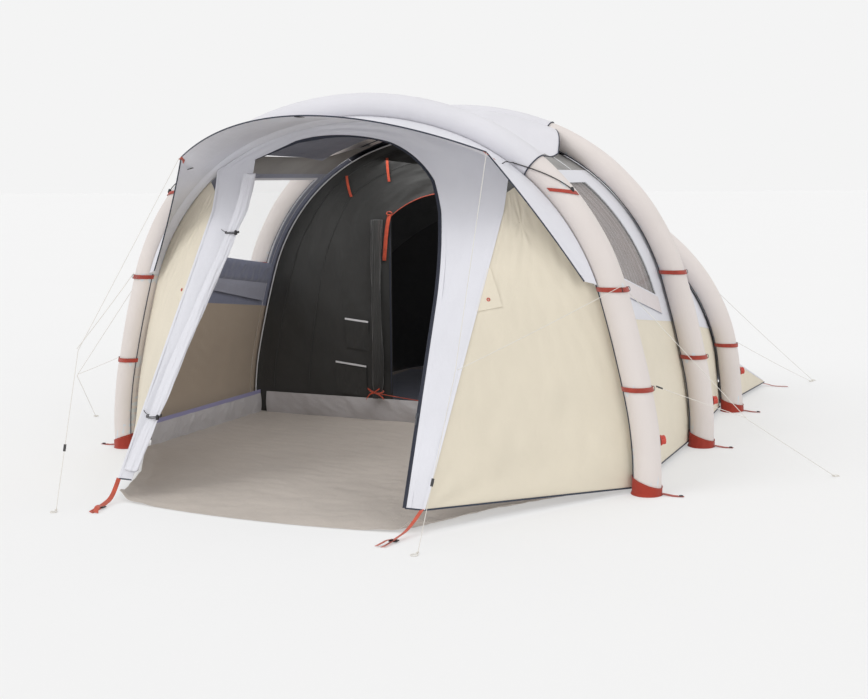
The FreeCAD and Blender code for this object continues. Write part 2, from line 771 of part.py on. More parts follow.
def inner_canopy():
    """Bedroom's sides and roof in one sheet, from its front wall to the rear slope."""
    gap = 4.0
    u_main = FRONT.at_height(INNER_FLOOR_Z + INNER_HEM, INNER_INSET)
    u_low = REAR.at_height(INNER_FLOOR_Z + INNER_HEM, INNER_INSET)
    front_run = INNER_FRONT_Y + INNER_THICK + gap - MIDDLE_STATION
    rows = []
    for share in spread(-1.0, 1.0, 21):
        a = MIDDLE.point(u_main * share, INNER_INSET)
        b = REAR.point(u_low * share, INNER_INSET)
        run = b - a
        rows.append((a + run * (front_run / run.y), b))
    return ribbon(rows, V(0, REAR_STATION - 400.0, 600.0), INNER_THICK)


def inner_rear():
    """Bedroom's sloping rear wall."""
    u_low = REAR.at_height(INNER_FLOOR_Z + INNER_HEM, INNER_INSET)
    rows = []
    for share in spread(-1.0, 1.0, 21):
        a = REAR.point(u_low * share, INNER_INSET, 4.0)
        foot_z = INNER_FLOOR_Z + INNER_HEM + INNER_REAR_BOW * (1 - share * share)
        b = V(INNER_FLOOR_HALF * share, INNER_REAR, foot_z)
        rows.append((a, b))
    return ribbon(rows, V(0, REAR_STATION - 400.0, 200.0), INNER_THICK).cut(tray_room())


def inner_floor():
    size = V(2 * INNER_FLOOR_HALF, INNER_REAR - INNER_FRONT_Y, INNER_THICK)
    return Part.makeBox(size.x, size.y, size.z,
                        V(-INNER_FLOOR_HALF, INNER_FRONT_Y, INNER_FLOOR_Z))


INNER_ROLL_TOP = 1310.0
INNER_ROLL_R = 34.0        # mean radius of the rolled bedroom door
INNER_ROLL_OUT = 48.0      # its centre in front of the bedroom's wall
INNER_ROLL_SIDE = 74.0     # and left of the opening's edge


def inner_door_roll():
    """The bedroom door, rolled and hung beside its opening's left edge."""
    left = INNER_DOOR[0]
    wires = []
    for i, z in enumerate(spread(INNER_DOOR[2] + 10.0, INNER_ROLL_TOP, 8)):
        lean = 0.02 * (INNER_ROLL_TOP - z)
        centre = V(left - INNER_ROLL_SIDE + 6.0 * math.sin(1.7 * i) - lean,
                   INNER_FRONT_Y - INNER_ROLL_OUT, z)
        wide = INNER_ROLL_R + 6.0 * math.cos(2.3 * i)
        points = []
        for k in range(8):
            a = math.radians(45.0 * k + 22.5)
            points.append(centre + V(wide * math.cos(a), wide * math.sin(a), 0))
        wires.append(Part.makePolygon(points + points[:1]))
    return Part.makeLoft(wires, True, True)


INNER_ZIP_TOP = 1300.0


def inner_zip():
    """Zip chain down the opening's left edge, on the wall's front."""
    left = INNER_DOOR[0]
    y = INNER_FRONT_Y - 2.4
    return Part.makeBox(8.0, 2.0, INNER_ZIP_TOP - 190.0, V(left - 12.0, y, 190.0))


def inner_slider():
    """Slider plate and hanging red pull in front of the bedroom's zip."""
    x = INNER_DOOR[0] - 8.0
    z = INNER_ZIP_TOP - 30.0
    y = INNER_FRONT_Y - 2.4
    plate = Part.makeBox(16.0, 2.4, 24.0, V(x - 8.0, y - 2.8, z - 12.0))
    lug = Part.makeBox(6.0, 3.0, 8.0, V(x - 3.0, y - 5.6, z - 10.0))
    pull = Part.makeBox(10.0, 2.0, 60.0, V(x - 5.0, y - 7.4, z - 66.0))
    return plate.fuse(lug).fuse(pull).removeSplitter()


TAPE_TOPS = {"left": V(-746.0, INNER_FRONT_Y - 12.0, 1590.0),
             "right": V(-456.0, INNER_FRONT_Y - 12.0, 1700.0)}
TAPE_LONG = {"left": 135.0, "right": 150.0}
TAPE_WIDE = 18.0


def hang_tape(side):
    """Orange tape with its button, hung by its top from the bedroom wall."""
    top = TAPE_TOPS[side]
    length = TAPE_LONG[side]
    tape = Part.makeBox(TAPE_WIDE, 2.5, length, top + V(-TAPE_WIDE / 2, 0, -length))
    button = Part.makeCylinder(5.0, 5.0, top + V(0, 2.0, -length + 14.0), V(0, -1, 0))
    return tape.fuse(button).removeSplitter()


# ---- guy lines and what ties them ----------------------------------------------------

FRONT_RING = V(1009.0, -1104.0, 739.0)       # where the two front legs meet
FRONT_PEG = V(952.0, -1383.0, 9.0)
SIDE_RING = V(2040.0, 137.0, 383.0)
SIDE_PEG = V(2383.0, 726.0, 9.0)
REAR_PEG = V(1830.0, 3956.0, 9.0)
RINGS = (FRONT_RING, SIDE_RING)
RING_BEND = 12.0           # a line's bend where it passes another line's loop


def band_point(arch, z, dy):
    """On a band's outer face, dy from the beam's plane towards the rear."""
    u = arch.at_height(z)
    reach = BEAM_R + 0.3 + BAND_WALL + 4.0
    out = arch.outward(u) * math.sqrt(reach ** 2 - dy ** 2)
    return arch.point(u) + out + V(0, dy, 0)


def sagged(start, end, share=0.5, drop=0.008):
    """A taut line's points: its ends and one low point between them."""
    low = start + (end - start) * share
    return [start, low - V(0, 0, (end - start).Length * drop), end]


def routes():
    """Right-hand guy lines by name: the points that each route turns at."""
    visor_tab = visor_edge(1.0) + V(6.0, -10.0, -4.0)
    upper = band_point(FRONT, FRONT_BANDS[0], -40.0)
    back = band_point(FRONT, FRONT_BANDS[0] - 45.0, 30.0)
    lower = band_point(FRONT, FRONT_BANDS[1], 25.0)
    rear_top = REAR.point(REAR.at_height(800.0)) + V(45.0, 68.0, 10.0)
    rear_low = band_point(REAR, REAR_BANDS[0], 45.0)
    near_ring = V(9.0, 3.0, 8.0)
    side_near = V(-9.0, 2.0, 9.0)
    return {
        "guy_visor": [visor_tab, FRONT_RING, FRONT_PEG],
        "guy_front_leg": sagged(upper, FRONT_RING + near_ring),
        "guy_side_upper": [back, SIDE_RING, SIDE_PEG],
        "guy_side_lower": sagged(lower, SIDE_RING + side_near),
        "guy_rear_upper": sagged(rear_top, REAR_PEG + V(8.0, 62.0, 0)),
        "guy_rear_lower": sagged(rear_low, REAR_PEG),
    }


def line_solid(points, radius, name):
    """Tube along straight runs joined by tangent arcs as large as the runs allow."""
    edges = []
    start = points[0]
    for before, at, after in zip(points, points[1:], points[2:]):
        back = unit(before - at)
        ahead = unit(after - at)
        half_turn = (math.pi - back.getAngle(ahead)) / 2
        short = min((before - at).Length, (after - at).Length)
        arc_radius = 0.45 * short / math.tan(half_turn)
        if at in RINGS:
            arc_radius = RING_BEND
        reach = arc_radius * math.tan(half_turn)
        enter = at + back * reach
        leave = at + ahead * reach
        depth = arc_radius * (1 / math.cos(half_turn) - 1)
        middle = at + unit(back + ahead) * depth
        edges.append(Part.makeLine(start, enter))
        edges.append(Part.Arc(enter, middle, leave).toShape())
        start = leave
        print(name, "arc radius", round(arc_radius, 1), "mm")
    edges.append(Part.makeLine(start, points[-1]))
    path = Part.Wire(edges)
    circle = Part.Wire(Part.makeCircle(radius, points[0], unit(points[1] - points[0])))
    tube = path.makePipeShell([circle], True, False)
    share = tube.Volume / (math.pi * radius ** 2 * path.Length)
    print(name, "length", round(path.Length, 1), "mm, volume share", round(share, 4))
    return tube


RUNNER_LONG = 34.0
RUNNER_WIDE = 11.0
RUNNER_THICK = 7.0
RUNNERS = {"front": ("guy_visor", 2, 0.62), "side": ("guy_side_lower", 1, 0.14)}


def runner_axis(name):
    """A runner's centre and its line's direction towards the peg."""
    route, run, share = RUNNERS[name]
    points = routes()[route]
    start, end = points[run - 1], points[run]
    return start + (end - start) * share, unit(end - start)


def runner(name):
    """Plastic line adjuster: a bar with a bore for the line and two more holes."""
    centre, along = runner_axis(name)
    across = unit(along.cross(V(0, 0, 1)))
    out = unit(across.cross(along))
    body = oriented_block(centre, along, across, out,
                          (RUNNER_LONG, RUNNER_WIDE, RUNNER_THICK))
    bore = Part.makeCylinder(RUNNER_BORE, RUNNER_LONG + 4,
                             centre - along * (RUNNER_LONG / 2 + 2), along)
    body = body.cut(bore)
    for shift in (-10.0, 10.0):
        eye = Part.makeCylinder(1.6, RUNNER_WIDE * 2,
                                centre + along * shift - across * RUNNER_WIDE
                                - out * (RUNNER_THICK / 2 - 0.2), across)
        body = body.cut(eye)
    return body


LOOP_R = 16.0
LOOP_CORD_R = 2.2


def peg_loops():
    """Right-hand loops that take the pegs, flat on the ground at each line's end."""
    loops = []
    ends = {"guy_visor": FRONT_PEG, "guy_side_upper": SIDE_PEG,
            "guy_rear_upper": REAR_PEG + V(8.0, 62.0, 0),
            "guy_rear_lower": REAR_PEG}
    for name, end in ends.items():
        points = routes()[name]
        run = end - points[-2]
        away = unit(V(run.x, run.y, 0))
        centre = V(end.x, end.y, LOOP_CORD_R + 0.3) + away * (LOOP_R + 10.0)
        loops.append(Part.makeTorus(LOOP_R, LOOP_CORD_R, centre, V(0, 0, 1)))
    return loops


VISOR_STRAP_Z = 1500.0


def visor_strap():
    """Right-hand webbing loop round the front beam that holds the visor back."""
    u = FRONT.at_height(VISOR_STRAP_Z)
    inner = BEAM_R + 0.3
    ring = collar(FRONT, u - 12.0, u + 12.0, inner, inner + 2.0)
    ring = flat_side(ring, FRONT, u, 30.0, 90.0)
    return ring


# ---- the whole tent ------------------------------------------------------------------

def beam_nodes():
    nodes = {}
    for name, arch in ARCHES.items():
        nodes[name + "_beam_sleeve"] = [beam_sleeve(arch)]
        nodes[name + "_valve_cap"] = [valve_cap(name)]
    nodes["air_tubes"] = [air_tube(arch) for arch in ARCHES.values()]
    nodes["beam_covers"] = [front_cover(), middle_cover()]
    nodes["valve_bases"] = [valve_base(name) for name in ARCHES]
    nodes["beam_boots"] = [s for arch in ARCHES.values() for s in pair(boot(arch))]
    bands = [band(FRONT, z) for z in FRONT_BANDS]
    bands += [band(MIDDLE, z) for z in MIDDLE_BANDS]
    bands += [band(REAR, z) for z in REAR_BANDS]
    bands += [visor_strap()]
    nodes["beam_bands"] = [s for shape in bands for s in pair(shape)]
    straps = [foot_strap(arch) for arch in ARCHES.values()]
    straps += [rear_strap(), corner_strap()]
    nodes["ground_straps"] = [s for shape in straps for s in pair(shape)]
    return nodes


def fly_nodes():
    hem = HEM_Z
    front_wall = wall(FRONT, MIDDLE, (BORDER_Z[0], VENT_SILL_Z), (BORDER_Z[1], VENT_SILL_Z))
    left_wall = front_wall.cut(window_hole(0.0, LEFT_WINDOW_TOP, LEFT_WINDOW_FOOT))
    front_skirt = wall(FRONT, MIDDLE, (hem, BORDER_Z[0]), (hem, BORDER_Z[1]))
    middle_wall = wall(MIDDLE, REAR, (BORDER_Z[1], ROOF_EDGE_Z), (BORDER_Z[2], 1250.0))
    middle_skirt = wall(MIDDLE, REAR, (hem, BORDER_Z[1]), (hem, BORDER_Z[2]))
    nodes = {
        "roof_front": [roof(FRONT, MIDDLE)],
        "roof_middle": [roof(MIDDLE, REAR)],
        "rear_panel": [rear_panel()],
        "vent_meshes": pair(vent_mesh()),
        "front_walls": [front_wall.cut(window_hole(0.0)), mirrored(left_wall)],
        "windows": window_films(),
        "window_curtains": [window_curtain(), curtain_pocket()],
    }
    sides = {"front_skirts": front_skirt,
             "middle_walls": middle_wall, "middle_skirts": middle_skirt,
             "rear_sides": rear_side(), "porch_sides": porch_side()}
    for name, shape in sides.items():
        nodes[name] = pair(shape)
    return nodes


def porch_nodes():
    nodes = {
        "porch_front": [porch_front()],
        "visor": [visor()],
        "door_roll": [door_roll()],
        "door_ties": door_ties(),
        "zip_chains": [door_zip(), inner_zip()],
        "door_slider": [door_slider()],
        "groundsheet": [groundsheet()],
    }
    for name, z in zip(("lower", "upper"), TIE_HEIGHTS):
        nodes["door_toggle_" + name] = [door_toggle(z)]
    buckles = zip(("right", "left"), pair(corner_buckle()))
    for side, shape in buckles:
        nodes["corner_buckle_" + side] = [shape]
    return nodes


def inner_nodes():
    return {
        "inner_front": [inner_front()],
        "inner_canopy": [inner_canopy()],
        "inner_rear": [inner_rear()],
        "inner_floor": [inner_floor()],
        "inner_door_roll": [inner_door_roll()],
        "inner_slider": [inner_slider()],
        "hang_tape_left": [hang_tape("left")],
        "hang_tape_right": [hang_tape("right")],
    }


def line_nodes():
    nodes = {"peg_loops": [s for shape in peg_loops() for s in pair(shape)]}
    for name, points in routes().items():
        for side, shape in zip(("right", "left"), pair(line_solid(points, LINE_R, name))):
            nodes[name + "_" + side] = [shape]
    for name in RUNNERS:
        for side, shape in zip(("right", "left"), pair(runner(name))):
            nodes["runner_" + name + "_" + side] = [shape]
    return nodes


def main():
    os.makedirs("parts", exist_ok=True)
    nodes = {}
    for group in (beam_nodes(), fly_nodes(), porch_nodes(), inner_nodes(), line_nodes()):
        nodes.update(group)
    whole = FreeCAD.BoundBox()
    for name, solids in sorted(nodes.items()):
        shape = solids[0] if len(solids) == 1 else Part.makeCompound(solids)
        shape.translate(V(0, FRONT_Y, 0))
        bad = not shape.isValid() or shape.Volume <= 0
        print(name, "solids", len(shape.Solids), "CHECK" if bad else "")
        shape.exportStep("parts/" + name + ".step")
        if not name.startswith(("guy_", "peg_loops", "runner_")):
            whole.add(shape.BoundBox)
    print("nodes", len(nodes), "box", whole)


main()
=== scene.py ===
import bmesh
import bpy
import math
import numpy as np
from mathutils import Matrix, Vector


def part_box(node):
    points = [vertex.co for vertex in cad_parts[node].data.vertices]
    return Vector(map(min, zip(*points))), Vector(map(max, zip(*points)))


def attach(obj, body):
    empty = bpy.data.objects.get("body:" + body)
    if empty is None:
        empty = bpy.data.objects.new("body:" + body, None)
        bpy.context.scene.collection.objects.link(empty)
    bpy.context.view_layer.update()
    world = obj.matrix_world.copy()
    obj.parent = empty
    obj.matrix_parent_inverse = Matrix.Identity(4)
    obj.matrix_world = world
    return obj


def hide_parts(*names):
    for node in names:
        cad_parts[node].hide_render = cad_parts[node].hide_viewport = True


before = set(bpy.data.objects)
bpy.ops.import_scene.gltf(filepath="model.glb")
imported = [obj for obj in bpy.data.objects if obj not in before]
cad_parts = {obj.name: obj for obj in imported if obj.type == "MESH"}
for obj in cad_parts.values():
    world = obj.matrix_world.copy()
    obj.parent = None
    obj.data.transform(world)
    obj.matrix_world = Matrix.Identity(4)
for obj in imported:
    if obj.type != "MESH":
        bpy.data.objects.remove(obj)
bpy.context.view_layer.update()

# Tunnel tent with three inflatable arches. Metres, in the CAD frame: the door faces -Y.
# Stations along the tent are read from the beams' own places.

TAU = 2 * math.pi


def middle_of(node):
    low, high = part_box(node)
    return (low + high) / 2


FRONT_Y = middle_of("front_beam_sleeve").y
MIDDLE_Y = middle_of("middle_beam_sleeve").y
REAR_Y = middle_of("rear_beam_sleeve").y
HEM_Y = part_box("rear_panel")[1].y


def place(x, y, z):
    """A point whose y is counted from the front arch."""
    return np.array([x, y + FRONT_Y, z])


# ---- camera ------------------------------------------------------------------------

def make_camera():
    yaw, pitch, roll = math.radians(23.79), math.radians(7.46), math.radians(-0.45)
    ahead = Vector((-math.sin(yaw) * math.cos(pitch), math.cos(yaw) * math.cos(pitch),
                    -math.sin(pitch)))
    side = ahead.cross(Vector((0, 0, 1))).normalized()
    up = side.cross(ahead)
    right = side * math.cos(roll) + up * math.sin(roll)
    above = up * math.cos(roll) - side * math.sin(roll)
    data = bpy.data.cameras.new("camera")
    data.lens = 53.72
    data.clip_end = 400.0
    camera = bpy.data.objects.new("camera", data)
    bpy.context.collection.objects.link(camera)
    turn = Matrix((right, above, -ahead)).transposed()
    camera.matrix_world = Matrix.Translation((3.154, FRONT_Y - 6.194, 1.560)) @ turn.to_4x4()
    bpy.context.scene.camera = camera


make_camera()


# ---- materials ---------------------------------------------------------------------

def linear(red, green, blue):
    values = []
    for c in (red / 255, green / 255, blue / 255):
        values.append(c / 12.92 if c <= 0.04045 else ((c + 0.055) / 1.055) ** 2.4)
    return values + [1.0]


class Nodes:
    """A material's node tree with short calls to add and join nodes."""

    def __init__(self, name):
        self.mat = bpy.data.materials.new(name)
        self.mat.use_nodes = True
        self.tree = self.mat.node_tree
        self.shader = self.tree.nodes["Principled BSDF"]

    def add(self, kind, **values):
        node = self.tree.nodes.new(kind)
        for key, value in values.items():
            if hasattr(node, key):
                setattr(node, key, value)
            else:
                node.inputs[key.replace("_", " ")].default_value = value
        return node

    def join(self, out, into):
        self.tree.links.new(out, into)

    def coords(self, kind, scale):
        coord = self.add("ShaderNodeTexCoord")
        mapping = self.add("ShaderNodeMapping")
        mapping.inputs["Scale"].default_value = scale
        self.join(coord.outputs[kind], mapping.inputs["Vector"])
        return mapping.outputs["Vector"]

    def noise(self, vector, scale, detail=3.0, rough=0.5, warp=0.0):
        node = self.add("ShaderNodeTexNoise", Scale=scale, Detail=detail, Roughness=rough)
        node.inputs["Distortion"].default_value = warp
        self.join(vector, node.inputs["Vector"])
        return node.outputs["Fac"]

    def waves(self, vector, scale, axis, profile="SIN", warp=0.0):
        node = self.add("ShaderNodeTexWave", Scale=scale)
        node.bands_direction = axis
        node.wave_profile = profile
        node.inputs["Distortion"].default_value = warp
        self.join(vector, node.inputs["Vector"])
        return node.outputs["Fac"]

    def ramp(self, fac, stops):
        node = self.add("ShaderNodeValToRGB")
        elements = node.color_ramp.elements
        while len(elements) < len(stops):
            elements.new(0.5)
        for element, (at, colour) in zip(elements, stops):
            element.position = at
            element.color = colour if len(colour) == 4 else list(colour) + [1.0]
        self.join(fac, node.inputs["Fac"])
        return node.outputs["Color"]

    def mix(self, fac, a, b):
        node = self.add("ShaderNodeMix", data_type="RGBA", blend_type="MIX")
        for value, socket in ((fac, node.inputs[0]), (a, node.inputs[6]), (b, node.inputs[7])):
            if isinstance(value, (int, float, list, tuple)):
                socket.default_value = value
            else:
                self.join(value, socket)
        return node.outputs[2]

    def math(self, kind, a, b):
        node = self.add("ShaderNodeMath", operation=kind)
        for value, socket in ((a, node.inputs[0]), (b, node.inputs[1])):
            if isinstance(value, (int, float)):
                socket.default_value = value
            else:
                self.join(value, socket)
        return node.outputs[0]

    def bump(self, height, distance, strength=1.0, after=None):
        node = self.add("ShaderNodeBump", Distance=distance, Strength=strength)
        self.join(height, node.inputs["Height"])
        if after is not None:
            self.join(after, node.inputs["Normal"])
        return node.outputs["Normal"]


def shades(colour, low, high):
    return ([c * low for c in colour[:3]] + [1.0], [min(c * high, 1.0) for c in colour[:3]] + [1.0])


def cloth(name, colour, rough=0.72, crinkle=0.0016, crinkle_scale=26.0, weave=420.0,
          through=0.0, sheen=0.12, vary=(0.93, 1.04), coords="UV"):
    """Coated tent cloth: woven grain, faint crinkles, uneven dye and some light through it."""
    n = Nodes(name)
    near = n.coords(coords, (1, 1, 1))
    body = n.coords("Object", (1, 1, 1))
    patches = n.noise(body, 1.6, 4.0, 0.55)
    grain = n.noise(body, 240.0, 2.0)
    low, high = shades(colour, *vary)
    tone = n.ramp(patches, [(0.3, low), (0.72, high)])
    thread = n.math("MULTIPLY", n.waves(near, weave, "X"), n.waves(near, weave, "Y"))
    dark, _ = shades(colour, 0.86, 1.0)
    tone = n.mix(n.math("MULTIPLY", grain, 0.22), tone, dark)
    tone = n.mix(n.math("MULTIPLY", thread, 0.10), tone, dark)
    n.join(tone, n.shader.inputs["Base Color"])
    smear = n.noise(body, 9.0, 3.0)
    n.join(n.ramp(smear, [(0.25, [rough - 0.07] * 3), (0.8, [rough + 0.07] * 3)]),
           n.shader.inputs["Roughness"])
    normal = n.bump(thread, 0.00022, 0.5)
    folds = n.noise(body, crinkle_scale, 5.0, 0.55, 0.7)
    normal = n.bump(folds, crinkle, 0.8, normal)
    broad = n.noise(body, crinkle_scale * 0.22, 2.0, 0.5, 0.4)
    normal = n.bump(broad, crinkle * 4.5, 0.6, normal)
    n.join(normal, n.shader.inputs["Normal"])
    n.shader.inputs["Specular IOR Level"].default_value = 0.32
    n.shader.inputs["Sheen Weight"].default_value = sheen
    n.shader.inputs["Sheen Roughness"].default_value = 0.5
    if through:
        glow = n.add("ShaderNodeBsdfTranslucent")
        n.join(tone, glow.inputs["Color"])
        n.join(normal, glow.inputs["Normal"])
        blend = n.add("ShaderNodeMixShader")
        blend.inputs[0].default_value = through
        n.join(n.shader.outputs[0], blend.inputs[1])
        n.join(glow.outputs[0], blend.inputs[2])
        n.join(blend.outputs[0], n.tree.nodes["Material Output"].inputs["Surface"])
    return n.mat


def webbing(name, colour, ribs=900.0, coords="UV"):
    """Woven strap: close darker ribs across and a dull sheen."""
    n = Nodes(name)
    near = n.coords(coords, (1, 1, 1))
    body = n.coords("Object", (1, 1, 1))
    low, high = shades(colour, 0.72, 1.12)
    weft = n.waves(near, ribs, "X")
    twill = n.waves(near, ribs * 0.6, "DIAGONAL")
    tone = n.ramp(n.noise(body, 30.0, 4.0), [(0.25, low), (0.75, high)])
    dark, _ = shades(colour, 0.55, 1.0)
    tone = n.mix(n.math("MULTIPLY", weft, 0.35), tone, dark)
    n.join(tone, n.shader.inputs["Base Color"])
    n.join(n.ramp(twill, [(0.0, [0.62] * 3), (1.0, [0.8] * 3)]), n.shader.inputs["Roughness"])
    normal = n.bump(weft, 0.0004, 0.8)
    normal = n.bump(twill, 0.0003, 0.5, normal)
    n.join(normal, n.shader.inputs["Normal"])
    n.shader.inputs["Sheen Weight"].default_value = 0.25
    return n.mat


def moulded(name, colour, rough=0.42, grain=380.0, wear=1.5):
    """Moulded plastic with a fine eroded texture and rubbed high spots."""
    n = Nodes(name)
    body = n.coords("Object", (1, 1, 1))
    low, high = shades(colour, 0.88, 1.1)
    tone = n.ramp(n.noise(body, 22.0, 4.0), [(0.3, low), (0.7, high)])
    _, rubbed = shades(colour, 1.0, wear)
    geometry = n.add("ShaderNodeNewGeometry")
    edge = n.ramp(geometry.outputs["Pointiness"], [(0.52, [0, 0, 0]), (0.6, [1, 1, 1])])
    spots = n.noise(body, 160.0, 3.0)
    tone = n.mix(n.math("MULTIPLY", edge, spots), tone, rubbed)
    n.join(tone, n.shader.inputs["Base Color"])
    n.join(n.ramp(n.noise(body, 60.0, 3.0), [(0.2, [rough - 0.08] * 3), (0.8, [rough + 0.1] * 3)]),
           n.shader.inputs["Roughness"])
    n.join(n.bump(n.noise(body, grain, 2.0), 0.0003, 0.5), n.shader.inputs["Normal"])
    return n.mat


MESH_THREADS = 520.0


def mesh_cloth(name, colour, alpha):
    """Fine netting: a lattice of threads that is partly open."""
    n = Nodes(name)
    near = n.coords("UV", (1, 1, 1))
    body = n.coords("Object", (1, 1, 1))
    low, high = shades(colour, 0.85, 1.15)
    tone = n.ramp(n.noise(body, 7.0, 4.0), [(0.3, low), (0.7, high)])
    threads = n.math("MAXIMUM", n.waves(near, MESH_THREADS, "X"), n.waves(near, MESH_THREADS, "Y"))
    tone = n.mix(n.math("MULTIPLY", threads, 0.3), tone, high)
    n.join(tone, n.shader.inputs["Base Color"])
    n.join(n.bump(threads, 0.0003, 0.6), n.shader.inputs["Normal"])
    n.shader.inputs["Roughness"].default_value = 0.8
    n.shader.inputs["Alpha"].default_value = alpha
    return n.mat


def film(name):
    """Clear window film with soft ripples."""
    n = Nodes(name)
    body = n.coords("Object", (1, 1, 1))
    tone = n.ramp(n.noise(body, 3.0, 2.0), [(0.2, [0.9, 0.92, 0.93]), (0.8, [0.97, 0.97, 0.97])])
    n.join(tone, n.shader.inputs["Base Color"])
    smear = n.noise(body, 5.0, 3.0)
    n.join(n.ramp(smear, [(0.3, [0.06] * 3), (0.8, [0.16] * 3)]), n.shader.inputs["Roughness"])
    n.join(n.bump(n.noise(body, 4.0, 2.0, 0.5, 0.6), 0.004, 0.5), n.shader.inputs["Normal"])
    n.shader.inputs["Alpha"].default_value = 0.10
    return n.mat


def braided(name, colour):
    """Thin cord with a crossed braid along it."""
    n = Nodes(name)
    body = n.coords("Object", (1, 1, 1))
    low, high = shades(colour, 0.82, 1.06)
    one = n.waves(body, 700.0, "DIAGONAL")
    two = n.waves(body, 520.0, "Z", warp=1.0)
    weave = n.math("MULTIPLY", one, two)
    tone = n.ramp(weave, [(0.0, low), (0.7, high)])
    n.join(tone, n.shader.inputs["Base Color"])
    n.join(n.ramp(n.noise(body, 40.0), [(0.2, [0.6] * 3), (0.8, [0.8] * 3)]),
           n.shader.inputs["Roughness"])
    n.join(n.bump(weave, 0.0003, 0.7), n.shader.inputs["Normal"])
    return n.mat


def metal(name, colour, rough):
    n = Nodes(name)
    body = n.coords("Object", (1, 1, 1))
    low, high = shades(colour, 0.8, 1.1)
    tone = n.ramp(n.noise(body, 90.0, 4.0), [(0.3, low), (0.7, high)])
    n.join(tone, n.shader.inputs["Base Color"])
    n.join(n.ramp(n.noise(body, 140.0, 3.0), [(0.2, [rough] * 3), (0.8, [rough + 0.2] * 3)]),
           n.shader.inputs["Roughness"])
    n.join(n.bump(n.noise(body, 300.0), 0.0002, 0.4), n.shader.inputs["Normal"])
    n.shader.inputs["Metallic"].default_value = 0.9
    return n.mat


def zipper(name, colour):
    """Zip tape with its row of coils down the middle."""
    n = Nodes(name)
    near = n.coords("UV", (1, 1, 1))
    low, high = shades(colour, 0.8, 1.5)
    teeth = n.waves(near, 200.0, "X", "TRI")
    tone = n.mix(n.math("MULTIPLY", teeth, 0.5), low, high)
    n.join(tone, n.shader.inputs["Base Color"])
    n.join(n.bump(teeth, 0.0006, 0.8), n.shader.inputs["Normal"])
    n.join(n.ramp(teeth, [(0.0, [0.75] * 3), (1.0, [0.5] * 3)]), n.shader.inputs["Roughness"])
    return n.mat


WHITE = linear(226, 226, 232)
M = {
    "sleeve": cloth("sleeve_cloth", linear(221, 213, 209), crinkle=0.0010, through=0.04),
    "white": cloth("white_fly", WHITE, through=0.10, crinkle=0.0014),
    "roof": cloth("roof_fly", linear(222, 221, 226), through=0.08, crinkle=0.0010),
    "beige": cloth("beige_fly", linear(229, 220, 201), through=0.10, crinkle=0.0012),
    "liner": cloth("liner_band", linear(146, 143, 178), crinkle=0.001),
    # Grey-lilac cloth of the curtain pocket, the bedroom floor and a stitch line. As the back face of the
    # white panels, its dark colour is painted shade inside the tent.
    "lilac_and_inside_shade": cloth("grey_lilac_cloth_and_inside_shade", linear(122, 126, 146), rough=0.5, crinkle=0.003,
                   sheen=0.3),
    "curtain": cloth("curtain_cloth", linear(124, 111, 108), rough=0.6, crinkle=0.0022,
                     sheen=0.3, vary=(0.6, 1.15)),
    "ground": cloth("groundsheet_cloth", linear(186, 177, 168), rough=0.62, crinkle=0.0048,
                    crinkle_scale=15.0, vary=(0.90, 1.05)),
    "curb": cloth("groundsheet_wall", linear(186, 183, 184), rough=0.62, crinkle=0.0045,
                  crinkle_scale=17.0),
    "black": cloth("bedroom_cloth", linear(50, 50, 49), rough=0.55, crinkle=0.0030,
                   crinkle_scale=13.0, sheen=0.25, vary=(0.8, 1.25)),
    "net": mesh_cloth("vent_netting", linear(150, 148, 146), 0.9),
    "film": film("window_film"),
    "navy": cloth("navy_piping", linear(44, 50, 66), rough=0.6, crinkle=0.0006, weave=900.0),
    "red": webbing("red_webbing", linear(172, 58, 40)),
    "orange": webbing("orange_webbing", linear(200, 76, 44)),
    "boot": cloth("boot_cloth", linear(158, 50, 34), rough=0.6, crinkle=0.0014, weave=500.0,
                  vary=(0.85, 1.1)),
    "red_plastic": moulded("red_plastic", linear(176, 58, 44), 0.4),
    "black_plastic": moulded("black_plastic", linear(26, 26, 28), 0.38, wear=3.0),
    "line": braided("guy_line", linear(226, 222, 214)),
    "dark_line": braided("elastic_cord", linear(52, 50, 52)),
    "zip": zipper("zip_tape", linear(40, 44, 58)),
    "metal": metal("slider_metal", linear(70, 72, 76), 0.35),
    "bladder": cloth("air_tube_film", linear(210, 214, 218), rough=0.35, coords="Object"),
    "piping_white": cloth("pale_piping", linear(214, 214, 216), crinkle=0.0006, weave=900.0),
}


# ---- shapes ------------------------------------------------------------------------

class Arch:
    """One beam's centreline: tangent arcs from each foot up to the crown, in metres."""

    def __init__(self, station, heading, arcs):
        self.station = station
        self.pieces = []
        x, z, turned, run = 0.0, 0.0, math.radians(heading), 0.0
        for radius, turn in arcs:
            cx = x - radius * math.sin(turned)
            cz = z + radius * math.cos(turned)
            length = radius * math.radians(turn)
            self.pieces.append([cx, cz, radius, turned - math.pi / 2, run, length])
            turned += math.radians(turn)
            x = cx + radius * math.sin(turned)
            z = cz - radius * math.cos(turned)
            run += length
        for piece in self.pieces:
            piece[0] -= x
        self.length = run

    def local(self, u):
        side = 1.0 if u >= 0 else -1.0
        run = self.length - abs(u)
        for cx, cz, radius, angle, start, length in self.pieces:
            if run <= start + length + 1e-9:
                break
        turned = angle + (run - start) / radius
        normal = np.array([side * math.cos(turned), 0.0, math.sin(turned)])
        return normal, np.array([side * cx, self.station, cz]), radius

    def at(self, u, inset=0.0, dy=0.0):
        """u runs from -length at the left foot to +length at the right foot."""
        normal, centre, radius = self.local(u)
        return centre + normal * (radius - inset) + np.array([0.0, dy, 0.0])

    def height_u(self, z, inset=0.0):
        low, high = 0.0, self.length
        for _ in range(40):
            middle = (low + high) / 2
            if self.at(middle, inset)[2] > z:
                low = middle
            else:
                high = middle
        return (low + high) / 2


